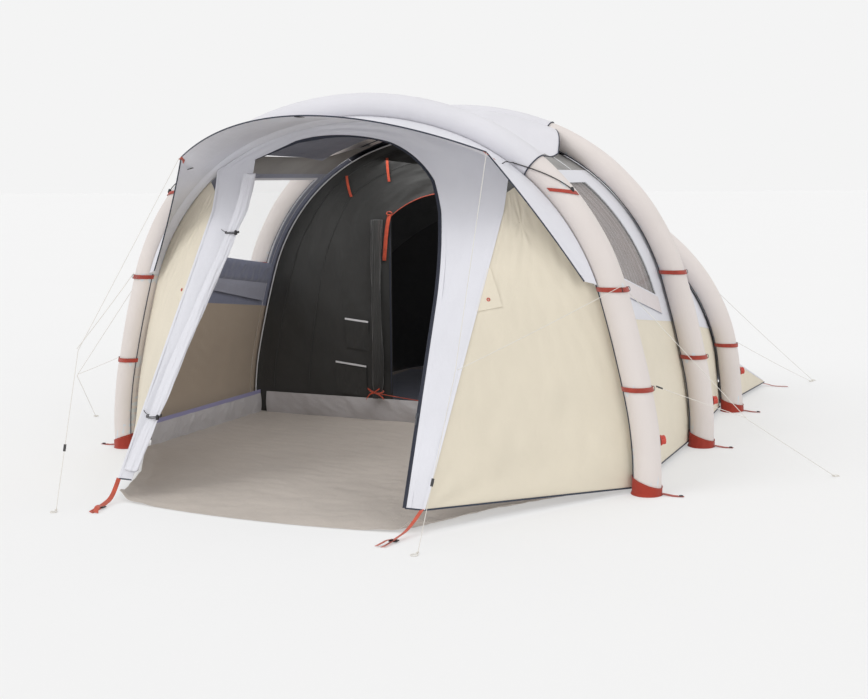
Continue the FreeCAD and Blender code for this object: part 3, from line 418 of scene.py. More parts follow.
MAIN_ARCS = [(1.9, 14.4), (6.6, 4.7), (1.3, 52.7), (1.74, 20.2)]
LOW_ARCS = [(6.155, 3.3), (1.182, 41.5), (1.657, 41.1)]
FRONT = Arch(FRONT_Y, 88.0, MAIN_ARCS)
MIDDLE = Arch(MIDDLE_Y, 88.0, MAIN_ARCS)
REAR = Arch(REAR_Y, 94.1, LOW_ARCS)
ARCHES = {"front": FRONT, "middle": MIDDLE, "rear": REAR}
BEAM_R = 0.0725
FLY_INSET = 0.0745
SLOPED_INSET = 0.083
CLOTH = 0.0015


def smooth(x):
    x = np.clip(x, 0.0, 1.0)
    return x * x * (3 - 2 * x)


def unit(v):
    v = np.asarray(v, float)
    return v / np.maximum(np.linalg.norm(v, axis=-1, keepdims=True), 1e-12)


def mirror(points):
    return np.asarray(points) * np.array([-1.0, 1.0, 1.0])


def new_object(name, verts, faces, mat, uvs=None, soft=True, second=None, backs=()):
    mesh = bpy.data.meshes.new(name)
    mesh.from_pydata([tuple(v) for v in verts], [], faces)
    if second:
        mesh.materials.append(M[mat])
        mesh.materials.append(M[second])
        for k in backs:
            mesh.polygons[k].material_index = 1
    mesh.validate()
    if uvs is not None and len(mesh.loops):
        layer = mesh.uv_layers.new(name="UVMap")
        index = np.empty(len(mesh.loops), np.int64)
        mesh.loops.foreach_get("vertex_index", index)
        layer.data.foreach_set("uv", np.asarray(uvs, np.float32)[index].ravel())
    if soft:
        mesh.polygons.foreach_set("use_smooth", [True] * len(mesh.polygons))
        mesh.set_sharp_from_angle(angle=math.radians(50))
    if not second:
        mesh.materials.append(M[mat])
    piece = bpy.data.objects.new(name, mesh)
    bpy.context.collection.objects.link(piece)
    return piece


def spacing(grid, axis):
    """Metres along one direction of a grid, from its average spacing."""
    steps = np.linalg.norm(np.diff(grid, axis=axis), axis=2).mean(axis=1 - axis)
    return np.concatenate([[0.0], np.cumsum(steps)])


def sizes(grid):
    """Flat width, length and area of a grid of points."""
    across = np.linalg.norm(np.diff(grid, axis=0), axis=2).sum(axis=0).max()
    along = np.linalg.norm(np.diff(grid, axis=1), axis=2).sum(axis=1).max()
    a, b = np.diff(grid, axis=0)[:, :-1], np.diff(grid, axis=1)[:-1]
    area = np.linalg.norm(np.cross(a, b), axis=2).sum()
    return float(across), float(along), float(area)


def grid_normals(grid):
    return unit(np.cross(np.gradient(grid, axis=0), np.gradient(grid, axis=1)))


def solid_cells(name, front, back, keep, mat, uvs, second=None):
    """Closed mesh from a front and a back layer of points, with some cells left out."""
    n, m, _ = front.shape
    at = np.arange(n * m).reshape(n, m)
    faces, rim, backs = [], {}, []
    for i, j in zip(*np.nonzero(keep)):
        a, b, c, d = at[i, j], at[i + 1, j], at[i + 1, j + 1], at[i, j + 1]
        faces.append((a, b, c, d))
        shift = n * m
        backs.append(len(faces))
        faces.append((d + shift, c + shift, b + shift, a + shift))
        for p, q in ((a, b), (b, c), (c, d), (d, a)):
            if (q, p) in rim:
                del rim[(q, p)]
            else:
                rim[(p, q)] = True
    for p, q in rim:
        faces.append((q, p, p + n * m, q + n * m))
    verts = np.concatenate([front.reshape(-1, 3), back.reshape(-1, 3)])
    faces = [tuple(int(x) for x in f) for f in faces]
    used = sorted({x for f in faces for x in f})
    new = {old: k for k, old in enumerate(used)}
    faces = [tuple(new[x] for x in f) for f in faces]
    uvs = np.concatenate([uvs, uvs])[used]
    return new_object(name, verts[used], faces, mat, uvs, second=second, backs=backs)


def sheet(name, grid, mat, out, wrinkle=None, thick=CLOTH, keep=None, flat=None, held="stretched",
          node=None, second=None):
    """Cloth piece whose outer face is the grid, pushed along its normals by wrinkles."""
    normals = grid_normals(grid)
    if (normals * np.asarray(out)).sum() < 0:
        normals = -normals
    u = spacing(grid, 0)
    v = spacing(grid, 1)
    metric_u, metric_v = np.meshgrid(u, v, indexing="ij")
    face = grid
    if wrinkle is not None:
        face = grid + normals * wrinkle(metric_u, metric_v)[..., None]
    if keep is None:
        keep = np.ones((grid.shape[0] - 1, grid.shape[1] - 1), bool)
    uvs = np.stack([metric_u.ravel(), metric_v.ravel()], 1)
    fine = grid_normals(face)
    if (fine * normals).sum() < 0:
        fine = -fine
    piece = solid_cells(name, face, face - fine * thick, keep, mat, uvs, second)
    fix_normals(piece)
    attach(piece, "tent")
    if node:
        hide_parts(*([node] if isinstance(node, str) else node))
    if held:
        wide, long, area = sizes(grid)
        if flat is None:
            flat = (round(wide, 3), round(long, 3))
        cells = np.linalg.norm(np.cross(grid[1:, :-1] - grid[:-1, :-1],
                                        grid[:-1, 1:] - grid[:-1, :-1]), axis=-1)
        share = (cells * keep).sum() / cells.sum()
        area = min(max(area * share, 0.31 * flat[0] * flat[1]), flat[0] * flat[1])
    return piece


def fix_normals(piece):
    bm = bmesh.new()
    bm.from_mesh(piece.data)
    bmesh.ops.recalc_face_normals(bm, faces=bm.faces)
    bm.to_mesh(piece.data)
    bm.free()


def folds(seed, amp, wave, long, turn=0.0, count=9):
    """Soft folds whose crests run along one direction, wave apart and long in length."""
    def height(u, v):
        rng = np.random.default_rng(seed)
        total = np.zeros_like(u)
        for _ in range(count):
            a = turn + rng.normal(0, 0.16)
            w = wave * rng.uniform(0.6, 1.7)
            reach = long * rng.uniform(0.7, 1.8)
            p = u * math.cos(a) + v * math.sin(a)
            q = -u * math.sin(a) + v * math.cos(a)
            swell = 0.5 + 0.5 * np.sin(TAU * q / reach + rng.uniform(0, TAU))
            drift = 0.3 * np.sin(TAU * q / (1.7 * reach) + rng.uniform(0, TAU))
            total += swell * np.sin(TAU * (p / w + drift) + rng.uniform(0, TAU))
        return amp * total / math.sqrt(count)
    return height


def fan(at, amp, rays, reach, seed=0):
    """Creases that spread from a pulled corner."""
    def height(u, v):
        du, dv = u - at[0], v - at[1]
        away = np.hypot(du, dv)
        turn = np.arctan2(dv, du)
        rise = np.sin(rays * turn + 1.3 * np.sin(2.0 * turn + seed) + seed)
        return amp * rise * np.exp(-away / reach) * smooth(away / 0.06)
    return height


def combine(*parts, edge=0.05, sag=0.0):
    """Sum of wrinkles that dies out at the panel's edges, over a slack middle."""
    def height(u, v):
        total = sum(part(u, v) for part in parts)
        rim = np.minimum(np.minimum(u - u.min(), u.max() - u), np.minimum(v - v.min(), v.max() - v))
        share = (v - v.min()) / (v.max() - v.min())
        total = total * smooth(rim / edge)
        return total - sag * 4 * share * (1 - share)
    return height


def tube(name, points, radius, mat, body="tent", closed=False, sides=8, flat=1.0, finish=True):
    """Sewn piping or a moulded rod: a capped tube along points."""
    points = np.asarray(points, float)
    if closed:
        tangent = unit(np.roll(points, -1, 0) - np.roll(points, 1, 0))
    else:
        tangent = unit(np.gradient(points, axis=0))
    up = np.array([0.0, 0.0, 1.0]) if abs(tangent[0][2]) < 0.9 else np.array([0.0, 1.0, 0.0])
    normal = unit(np.cross(np.cross(tangent[0], up), tangent[0]))
    normals = []
    for t in tangent:
        normal = unit(normal - t * (normal @ t))
        normals.append(normal)
    normals = np.array(normals)
    side = np.cross(tangent, normals)
    angle = np.arange(sides) * TAU / sides
    ring = (normals[:, None] * np.cos(angle)[None, :, None] * flat
            + side[:, None] * np.sin(angle)[None, :, None])
    verts = (points[:, None] + ring * radius).reshape(-1, 3)
    n = len(points)
    faces = []
    for i in range(n if closed else n - 1):
        j = (i + 1) % n
        for k in range(sides):
            l = (k + 1) % sides
            faces.append((i * sides + k, i * sides + l, j * sides + l, j * sides + k))
    if not closed:
        faces.append(tuple(range(sides))[::-1])
        faces.append(tuple(range((n - 1) * sides, n * sides)))
    run = np.concatenate([[0], np.cumsum(np.linalg.norm(np.diff(points, axis=0), axis=1))])
    uvs = np.stack([np.repeat(run, sides), np.tile(angle * radius, n)], 1)
    piece = new_object(name, verts, faces, mat, uvs)
    if finish:
        fix_normals(piece)
        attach(piece, body)
    return piece


def tape(name, a, b, out, mat, thick=0.0012, body="tent", crown=0.0, finish=True):
    """Closed flat strip between two edge lines; out points away from what it is sewn to."""
    a, b, out = np.asarray(a, float), np.asarray(b, float), np.asarray(out, float)
    lift = unit(out)
    if lift.ndim == 1:
        lift = np.tile(lift, (len(a), 1))
    across = 4
    rows = []
    for k in range(across + 1):
        s = k / across
        rows.append(a * (1 - s) + b * s + lift * (thick + crown * 4 * s * (1 - s)))
    top = np.stack(rows, 1)
    bottom = np.stack([a * (1 - k / across) + b * k / across for k in range(across + 1)], 1)
    run = np.concatenate([[0], np.cumsum(np.linalg.norm(np.diff(a, axis=0), axis=1))])
    wide = np.linalg.norm(b - a, axis=1).mean()
    uvs = np.stack([np.repeat(run, across + 1),
                    np.tile(np.linspace(0, wide, across + 1), len(a))], 1)
    keep = np.ones((len(a) - 1, across), bool)
    piece = solid_cells(name, top, bottom, keep, mat, uvs)
    if finish:
        fix_normals(piece)
        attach(piece, body)
    return piece


def ring_faces(rings, around, capped=False):
    """Quads between successive rings of points, and both end faces if capped."""
    faces = [(i * around + k, i * around + (k + 1) % around,
              (i + 1) * around + (k + 1) % around, (i + 1) * around + k)
             for i in range(rings - 1) for k in range(around)]
    if capped:
        faces.append(tuple(range(around))[::-1])
        faces.append(tuple(range((rings - 1) * around, rings * around)))
    return faces


def joined(name, pieces, body="tent"):
    """Several made pieces as one object."""
    bpy.ops.object.select_all(action="DESELECT")
    for piece in pieces:
        piece.select_set(True)
    bpy.context.view_layer.objects.active = pieces[0]
    bpy.ops.object.join()
    whole = pieces[0]
    whole.name = name
    whole.data.name = name
    fix_normals(whole)
    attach(whole, body)
    return whole


def bezier(points, count):
    """A smooth line near a few given points (uniform quadratic spline)."""
    points = [np.asarray(p, float) for p in points]
    out = []
    inner = [points[0]] + [(p + q) / 2 for p, q in zip(points[1:-1], points[2:-1])] + [points[-1]]
    for start, handle, end in zip(inner, points[1:-1], inner[1:]):
        for t in np.linspace(0, 1, count, endpoint=False):
            out.append(start * (1 - t) ** 2 + 2 * handle * t * (1 - t) + end * t * t)
    return np.array(out + [points[-1]])


# ---- guy lines ---------------------------------------------------------------------

LINE_R = 0.0015
FRONT_RING = place(1.009, -1.104, 0.739)
FRONT_PEG = place(0.952, -1.383, 0.009)
SIDE_RING = place(2.040, 0.137, 0.383)
SIDE_PEG = place(2.383, 0.726, 0.009)
REAR_PEG = place(1.830, 3.956, 0.009)
BANDS = {"front": (1.020, 0.530), "middle": (1.020, 0.530), "rear": (0.450,)}
RING_REACH = 0.018


def band_point(arch, z, dy):
    u = arch.height_u(z)
    reach = BEAM_R + 0.0003 + 0.002 + 0.004
    normal = arch.local(u)[0]
    return arch.at(u) + normal * math.sqrt(reach ** 2 - dy ** 2) + np.array([0.0, dy, 0.0])


def sagged(start, end):
    run = end - start
    return [start, start + run * 0.5 - np.array([0, 0, np.linalg.norm(run) * 0.008]), end]


def through_ring(start, ring, end):
    """A line that turns at a ring: one point close to it on each side."""
    before = ring + unit(start - ring) * RING_REACH
    after = ring + unit(end - ring) * RING_REACH
    return [start, before, ring, after, end]


VISOR_TAB = place(0.874, -0.385, 1.686)
REAR_TOP = REAR.at(REAR.height_u(0.800)) + np.array([0.045, 0.068, 0.010])
FAR_PEG = REAR_PEG + np.array([0.008, 0.062, 0.0])
ROUTES = {
    "guy_visor": (through_ring(VISOR_TAB, FRONT_RING, FRONT_PEG), 1.980, "knot"),
    "guy_front_leg": (sagged(band_point(FRONT, 1.020, -0.040),
                             FRONT_RING + np.array([0.009, 0.003, 0.008])), 1.184, "object"),
    "guy_side_upper": (through_ring(band_point(FRONT, 0.975, 0.030), SIDE_RING, SIDE_PEG),
                       1.620, "knot"),
    "guy_side_lower": (sagged(band_point(FRONT, 0.530, 0.025),
                              SIDE_RING + np.array([-0.009, 0.002, 0.009])), 0.479, "object"),
    "guy_rear_upper": (sagged(REAR_TOP, FAR_PEG), 1.728, "knot"),
    "guy_rear_lower": (sagged(band_point(REAR, 0.450, 0.045), REAR_PEG), 1.522, "knot"),
}


def peg_loop(name, before, end):
    """The loop tied in a line's end, flat on the ground, with its knot."""
    run = end - before
    away = unit(np.array([run[0], run[1], 0.0]))
    side = np.array([-away[1], away[0], 0.0])
    middle = np.array([end[0], end[1], 0.0025]) + away * 0.026
    turn = np.linspace(0, TAU, 28, endpoint=False)
    ring = [middle + away * 0.016 * math.cos(t) * 1.05 + side * 0.0145 * math.sin(t)
            + np.array([0, 0, 0.0006 * math.sin(3 * t)]) for t in turn]
    loop = tube(name, ring, 0.0021, "line", closed=True, finish=False)
    knot = []
    for t in np.linspace(0, 1, 26):
        a = t * TAU * 2.5
        knot.append(np.array([end[0], end[1], 0.0065]) + away * (-0.004 + 0.013 * t)
                    + side * 0.0030 * math.cos(a) + np.array([0, 0, 0.0030 * math.sin(a)]))
    wrap = tube(name + "_knot", knot, 0.0017, "line", finish=False)
    return joined(name, [loop, wrap])


def guy_lines():
    for name, (points, length, far_end) in ROUTES.items():
        for side in ("right", "left"):
            path = [mirror(p) if side == "left" else p for p in points]
            node = f"{name}_{side}"
            curve = bpy.data.curves.new(node + "_line", "CURVE")
            curve.dimensions = "3D"
            spline = curve.splines.new("NURBS")
            spline.points.add(len(path) - 1)
            for point, at in zip(spline.points, path):
                point.co = (*at, 1.0)
            spline.order_u = 3
            spline.use_endpoint_u = True
            spline.resolution_u = 24
            curve.bevel_depth = LINE_R
            curve.bevel_resolution = 3
            curve.use_fill_caps = True
            curve.materials.append(M["line"])
            piece = bpy.data.objects.new(node + "_line", curve)
            bpy.context.collection.objects.link(piece)
            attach(piece, "tent")
            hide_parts(node)
            if far_end == "knot":
                loop = peg_loop(f"{node}_loop", path[-2], path[-1])
                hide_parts("peg_loops")


guy_lines()


# ---- beams -------------------------------------------------------------------------

COVER_HALF = 1.050
SLEEVE_R = 0.0722


def pinch_heights(name):
    arch = ARCHES[name]
    spots = [side * arch.height_u(z) for z in BANDS[name] for side in (-1, 1)]
    if name == "front":
        spots += [side * arch.height_u(1.500) for side in (-1, 1)]
    return spots


def beam_skin(name):
    """One sleeve with its air pressed shape: pinched at the bands, creased in its bends."""
    arch = ARCHES[name]
    reach = arch.length - 0.0098
    count, around = 301, 48
    us = np.linspace(-reach, reach, count)
    theta = np.arange(around) * TAU / around
    rng = np.random.default_rng(len(name))
    phase = rng.uniform(0, TAU, 12)
    rows = []
    for u in us:
        normal, centre, radius = arch.local(u)
        spine = centre + normal * radius
        r = np.full(around, SLEEVE_R)
        for spot in pinch_heights(name):
            near = math.exp(-((u - spot) / 0.035) ** 2)
            r -= 0.0009 * near * (1 + 0.7 * np.sin(9 * theta + phase[0] + spot * 7))
        bend = min(1.0, 1.6 / radius) * 0.5
        inner = np.maximum(0, -np.cos(theta)) ** 2
        r -= 0.0022 * bend * inner * (1 + np.sin(TAU * u / 0.043 + phase[1] + np.sin(3 * u)))
        r -= 0.0005 * (1 + np.sin(TAU * u / 0.31 + 2 * theta + phase[2]))
        foot = math.exp(-(arch.length - abs(u) - 0.10) / 0.08) if abs(u) < arch.length else 1
        r -= 0.0006 * min(foot, 1.0) * (1 + np.sin(11 * theta + phase[3] + 20 * u))
        ring = np.cos(theta)[:, None] * normal + np.sin(theta)[:, None] * np.array([0, 1.0, 0])
        rows.append(spine + ring * r[:, None])
    verts = np.array(rows).reshape(-1, 3)
    verts[:, 2] = np.maximum(verts[:, 2], 0.004)
    faces = []
    for i in range(count - 1):
        for k in range(around):
            l = (k + 1) % around
            faces.append((i * around + k, i * around + l, (i + 1) * around + l,
                          (i + 1) * around + k))
    faces.append(tuple(range(around))[::-1])
    faces.append(tuple(range((count - 1) * around, count * around)))
    uvs = np.stack([np.repeat(us, around), np.tile(theta * SLEEVE_R, count)], 1)
    piece = new_object(name + "_beam", verts, faces, "sleeve", uvs)
    fix_normals(piece)
    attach(piece, "tent")
    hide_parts(name + "_beam_sleeve")


def on_beam(arch, u, angle, radius=BEAM_R):
    """A point on a beam's skin: angle 0 faces out of the tent, 90 degrees the rear."""
    a = math.radians(angle)
    return arch.at(u, -radius * math.cos(a), radius * math.sin(a))


def beam_piping(name):
    """The two dark sewn edges where the flysheet meets the beam, and a fine seam between."""
    arch = ARCHES[name]
    low = arch.height_u(0.070)
    us = np.linspace(-low, low, 190)
    for angle, side in ((145, "rear"), (215, "fore")):
        line = [on_beam(arch, u, angle, 0.0742) for u in us]
        piece = tube(f"{name}_beam_piping_{side}", line, 0.0026, "navy", sides=6)
    line_a = [on_beam(arch, u, 118, 0.0726) for u in us]
    line_b = [on_beam(arch, u, 123, 0.0726) for u in us]
    seam_angle = math.radians(120)
    out = [arch.local(u)[0] * math.cos(seam_angle) + np.array([0, math.sin(seam_angle), 0])
           for u in us]
    piece = tape(f"{name}_beam_seam", line_a, line_b, out, "sleeve", 0.0008)


def beam_cover(name, half, start, end):
    """Roof cloth sewn over the top of a beam, from one angle round to another."""
    arch = ARCHES[name]
    us = np.linspace(-half, half, 150)
    angles = np.linspace(start, end, 40)
    grid = np.array([[on_beam(arch, u, a, 0.0744) for a in angles] for u in us])
    ripple = combine(folds(5, 0.0004, 0.10, 0.5, 0.2), fan((0.0, 0.1), 0.0012, 9, 0.12, 1),
                     fan((2 * half, 0.1), 0.0012, 9, 0.12, 2), edge=0.02)
    out = grid - np.array([arch.at(u) for u in us])[:, None]
    sheet(name + "_beam_roof_cover", grid, "roof", out, ripple, thick=0.0011, node="beam_covers",
          held="stretched")
    for side in (-1, 1):
        line = [on_beam(arch, side * half, a, 0.0755) for a in np.linspace(start, end, 40)]
        piece = tube(f"{name}_cover_piping_{'right' if side > 0 else 'left'}", line, 0.0034,
                     "navy", sides=6)


def boots():
    """Red cups round the beams' feet: a slanted rim, a stitched edge and a ground flange."""
    made = []
    for name, arch in ARCHES.items():
        for side in (-1, 1):
            around, levels = 56, 12
            theta = np.arange(around) * TAU / around
            outer, inner = [], []
            rng = np.random.default_rng(len(name) * 2 + side)
            phase = rng.uniform(0, TAU, 4)
            for level in range(levels + 1):
                s = level / levels
                ring_out, ring_in = [], []
                for t in theta:
                    rim = 0.066 - 0.0275 * math.cos(t)
                    u = side * (arch.length - s * rim)
                    normal = arch.local(u)[0]
                    way = normal * math.cos(t) + np.array([0, math.sin(t), 0])
                    swell = 0.0012 * math.sin(7 * t + phase[0]) * math.sin(math.pi * s)
                    swell += 0.0008 * math.sin(13 * t + phase[1]) * s * (1 - s) * 4
                    r = 0.0757 + swell + 0.0045 * max(0.0, 1 - s * 7)
                    if side * way[0] < -0.93 and s > 0.1:
                        r = min(r, 0.0745)
                    ring_out.append(arch.at(u) + way * r)
                    ring_in.append(arch.at(u) + way * 0.0733)
                outer.append(ring_out)
                inner.append(ring_in)
            outer, inner = np.array(outer), np.array(inner)
            for ring in (outer, inner):
                ring[..., 2] = np.maximum(ring[..., 2], 0.0006)
            rings = np.concatenate([outer, inner[::-1]])
            verts = rings.reshape(-1, 3)
            total = len(rings)
            faces = ring_faces(total, around)
            last = (total - 1) * around
            for k in range(around):
                l = (k + 1) % around
                faces.append((last + k, last + l, l, k))
            uvs = np.stack([np.repeat(np.linspace(0, 0.2, total), around),
                            np.tile(theta * 0.075, total)], 1)
            made.append(new_object("cup", verts, faces, "boot", uvs))
            rim_line = outer[-1] + unit(outer[-1] - inner[-1]) * 0.0004
            made.append(tube("rim", rim_line, 0.0019, "boot", closed=True, sides=6, finish=False))
            stitch = outer[-2] + unit(outer[-2] - inner[-2]) * 0.0002
            made.append(tube("stitch", stitch, 0.0007, "orange", closed=True, sides=4,
                             finish=False))
    piece = joined("beam_foot_boots", made)
    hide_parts("beam_boots")


def foot_straps():
    """Webbing tongues that leave the boots over the ground, each with a pegging eye."""
    made = []
    for arch in ARCHES.values():
        for side in (-1, 1):
            foot = arch.at(side * arch.length)
            start = foot + np.array([side * (BEAM_R + 0.006), 0, 0.004])
            xs = np.linspace(0, 0.108, 26)
            rise = 0.0018 + 0.0055 * np.exp(-xs / 0.02) + 0.0012 * np.sin(xs * 75)
            for length, lift in ((1.0, 0.0), (0.72, 0.0022)):
                keep = xs <= 0.108 * length
                line = np.stack([start[0] + side * xs[keep], np.full(keep.sum(), start[1]),
                                 rise[keep] + lift], 1)
                wide = np.array([0, 0.0115, 0])
                made.append(tape("tongue", line - wide, line + wide, (0, 0, 1), "red",
                                 0.0016, finish=False))
            eye = start + np.array([side * 0.094, 0, 0.0022])
            turn = np.linspace(0, TAU, 22, endpoint=False)
            ring = [eye + np.array([0.009 * math.cos(t), 0.009 * math.sin(t), 0.001]) for t in turn]
            made.append(tube("eyelet", ring, 0.0019, "metal", closed=True, finish=False))
    return made


def hem_straps():
    """Webbing at the rear corners and the front corners, with their loose tails."""
    made = []
    for side in (-1, 1):
        flip = np.array([side, 1, 1])
        rear = np.array([[1.530 + 0.182 * s, HEM_Y - 0.058 + 0.004 * math.sin(5 * s),
                          0.016 - 0.0125 * smooth(s * 2.2) + 0.001 * math.sin(9 * s)]
                         for s in np.linspace(0, 1, 24)]) * flip
        wide = np.array([0, 0.0115, 0])
        made.append(tape("rear", rear - wide, rear + wide, (0, 0, 1), "red", 0.0018, finish=False))
        path = bezier([place(0.826, -1.062, 0.100), place(0.812, -1.110, 0.060),
                       place(0.796, -1.170, 0.024), place(0.785, -1.235, 0.0145),
                       place(0.782, -1.262, 0.0105), place(0.779, -1.290, 0.006),
                       place(0.772, -1.352, 0.0025)], 7) * flip
        across = np.array([0.0115, 0.0, 0.004]) * flip
        made.append(tape("front", path - across, path + across, (0, -0.5, 1), "orange",
                         0.0018, finish=False))
        tail = bezier([place(0.779, -1.268, 0.016), place(0.772, -1.300, 0.022),
                       place(0.758, -1.332, 0.012), place(0.742, -1.352, 0.004)], 9) * flip
        across = np.array([0.0105, -0.004, 0.003]) * flip
        made.append(tape("tail", tail - across, tail + across, (0, -0.4, 1), "orange",
                         0.0016, finish=False))
    return made


def straps():
    piece = joined("pegging_straps", foot_straps() + hem_straps())
    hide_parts("ground_straps")


BAND_PLACES = ((FRONT, 1.020), (FRONT, 0.530), (MIDDLE, 1.020), (MIDDLE, 0.530), (REAR, 0.450))
BAND_HALF = 0.0120


def level_tape(arch, side, u, angles, drift=0.0, radius=0.0750, half=BAND_HALF):
    """Webbing wound level round a leaning beam, between two angles; drift slopes it."""
    out, a, b = [], [], []
    for t, slope in zip(angles, np.linspace(0.0, drift, len(angles))):
        normal = arch.local(side * u)[0]
        level = abs(normal[2]) / math.sqrt(1 - normal[2] ** 2) * radius * math.cos(math.radians(t))
        a.append(on_beam(arch, side * (u + level + slope - half), t, radius))
        b.append(on_beam(arch, side * (u + level + slope + half), t, radius))
        out.append(normal * math.cos(math.radians(t)) + np.array([0, math.sin(math.radians(t)), 0]))
    return tape("band", a, b, out, "red", 0.0018, finish=False)


def beam_bands():
    """Webbing bands round the beams, with overlapped ends and small rings for the guy lines."""
    made = []
    for arch, z in BAND_PLACES:
        for side in (-1, 1):
            made.append(level_tape(arch, side, arch.height_u(z), np.linspace(-152, 152, 64)))
    piece = joined("beam_band_tapes", made)
    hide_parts("beam_bands")
    made = []
    spots = [(FRONT, 1.020, -40), (FRONT, 1.020, 22), (FRONT, 0.530, 20), (MIDDLE, 1.020, 18),
             (MIDDLE, 0.530, 18), (REAR, 0.450, 36)]
    for arch, z, angle in spots:
        u = arch.height_u(z)
        for side in (-1, 1):
            made.append(level_tape(arch, side, u, np.linspace(angle - 13, angle + 13, 9),
                                   radius=0.0768, half=0.0105))
            normal = arch.local(side * u)[0]
            level = abs(normal[2]) * 0.075 * math.cos(math.radians(angle))
            seat = on_beam(arch, side * (u + level), angle, 0.0805)
            turn = np.linspace(0, TAU, 20, endpoint=False)
            along = unit(on_beam(arch, side * (u + 0.02), angle)
                         - on_beam(arch, side * (u - 0.02), angle))
            outward = unit(seat - arch.at(side * (u + level)))
            ring = [seat + along * 0.011 * math.cos(t) + outward * 0.0040 * math.sin(t)
                    for t in turn]
            made.append(tube("ring", ring, 0.0015, "black_plastic", closed=True, finish=False))
    piece = joined("band_fittings", made)


for beam_name in ARCHES:
    beam_skin(beam_name)
    beam_piping(beam_name)
beam_cover("front", COVER_HALF, -150, 150)
boots()
straps()
beam_bands()


# ---- flysheet ----------------------------------------------------------------------

HEM_Z = 0.026
BORDER = (0.880, 0.735, 0.560)
VENT_SILL = 1.610
BAY = MIDDLE_Y - FRONT_Y
SIDES = {"right": 1, "left": -1}


def side_table(inset):
    us = np.linspace(0.0, FRONT.length, 600)
    points = np.array([FRONT.at(u, inset) for u in us])
    return points[::-1, 2], points[::-1, 0]


def wall_point(y, z, inset=FLY_INSET):
    """On the right wall between the front and middle arches; y counted from the front."""
    heights, xs = TABLES.setdefault(inset, side_table(inset))
    return np.stack([np.interp(z, heights, xs), np.asarray(y) + FRONT_Y, np.asarray(z)], -1)


TABLES = {}


def net(controls, columns, rows):
    """(y, z) grid through a net of control points, divided between them."""
    controls = np.array(controls, float)
    ss = np.concatenate([np.linspace(i, i + 1, c, endpoint=False) for i, c in enumerate(columns)]
                        + [[len(columns)]])
    ts = np.concatenate([np.linspace(i, i + 1, c, endpoint=False) for i, c in enumerate(rows)]
                        + [[len(rows)]])
    out = np.zeros((len(ts), len(ss), 2))
    for a, t in enumerate(ts):
        i = min(int(t), len(rows) - 1)
        for b, s in enumerate(ss):
            j = min(int(s), len(columns) - 1)
            p, q = t - i, s - j
            low = controls[i, j] * (1 - q) + controls[i, j + 1] * q
            high = controls[i + 1, j] * (1 - q) + controls[i + 1, j + 1] * q
            out[a, b] = low * (1 - p) + high * p
    return out


def out_right(side):
    return (SIDES[side], 0.0, 0.35)


def sided(grid, side):
    return grid if side == "right" else mirror(grid)


WINDOWS = {"right": [(0.180, 1.110), (1.050, 0.895), (0.940, 1.545), (0.180, 1.545)],
           "left": [(0.180, 1.110), (1.215, 0.853), (1.190, 1.570), (0.180, 1.570)]}
WALL_COLUMNS = {"right": (10, 40, 14), "left": (10, 48, 6)}


def flap_edge(y):
    """Height of the roof cloth's lower edge between the front and middle arches."""
    return np.interp(y, [0.0, 0.66, 1.02, 1.26], [1.712, 1.707, 1.683, 1.757])


def roof_front():
    ys = np.concatenate([np.linspace(0.004, 0.90, 26), np.linspace(0.925, 1.203, 16)])
    shares = np.linspace(-1, 1, 151)
    grid = []
    for y in ys:
        lift = smooth((y - 0.94) / 0.25)
        inset = FLY_INSET * (1 - lift) - 0.0478 * lift
        edge = FRONT.height_u(float(flap_edge(y)), FLY_INSET)
        row = []
        for share in shares:
            p = FRONT.at(edge * share, inset)
            row.append([p[0], FRONT_Y + y, p[2]])
        grid.append(row)
    grid = np.array(grid).transpose(1, 0, 2)
    ripple = combine(folds(11, 0.0022, 0.26, 0.9, 0.0), folds(12, 0.0010, 0.09, 0.4, 0.2),
                     folds(13, 0.0010, 0.16, 0.5, 1.5), edge=0.10, sag=0.007)
    # Back face in the dark grey-lilac: painted shade on the inside.
    sheet("roof_front_panel", grid, "roof", (0, 0, 1), ripple, node="roof_front",
          second="lilac_and_inside_shade")
    for side, index in (("left", 0), ("right", -1)):
        line = grid[index] + np.array([0, 0, -0.0015])
        tube(f"roof_flap_piping_{side}", line, 0.0034, "navy", sides=6)
    made = []
    for k in (44, 106):
        a, b = grid[k], grid[k + 1]
        normals = grid_normals(grid)[k]
        normals = normals if normals[0][2] > 0 else -normals
        sink = normals * 0.0062 * (4 * np.linspace(0, 1, len(a)) * (1 - np.linspace(0, 1, len(a))))[:, None]
        made.append(tape("seam", a - sink, a - sink + unit(b - a) * 0.014, normals, "roof", 0.0012,
                         finish=False))
    joined("roof_front_seams", made)


def vents():
    for side in SIDES:
        ys = np.linspace(0.003, 1.250, 60)
        grid = np.array([[wall_point(y, z, 0.0772) for z in
                          np.linspace(VENT_SILL - 0.006, 1.700 + 0.075 * smooth((y - 0.9) / 0.3), 12)]
                         for y in ys])
        ripple = combine(folds(21, 0.0010, 0.12, 0.5, 0.1), edge=0.03)
        sheet(f"vent_net_{side}", sided(grid, side), "net", out_right(side), ripple,
              node="vent_meshes", thick=0.0008, held="stretched")
        stay = np.array([wall_point(0.985, 1.694, 0.074), wall_point(0.970, 1.660, 0.0735),
                         wall_point(0.950, 1.612, 0.0735)])
        stay = sided(stay, side)
        piece = tube(f"vent_stay_{side}", bezier(list(stay), 8), 0.0028, "piping_white", sides=6)


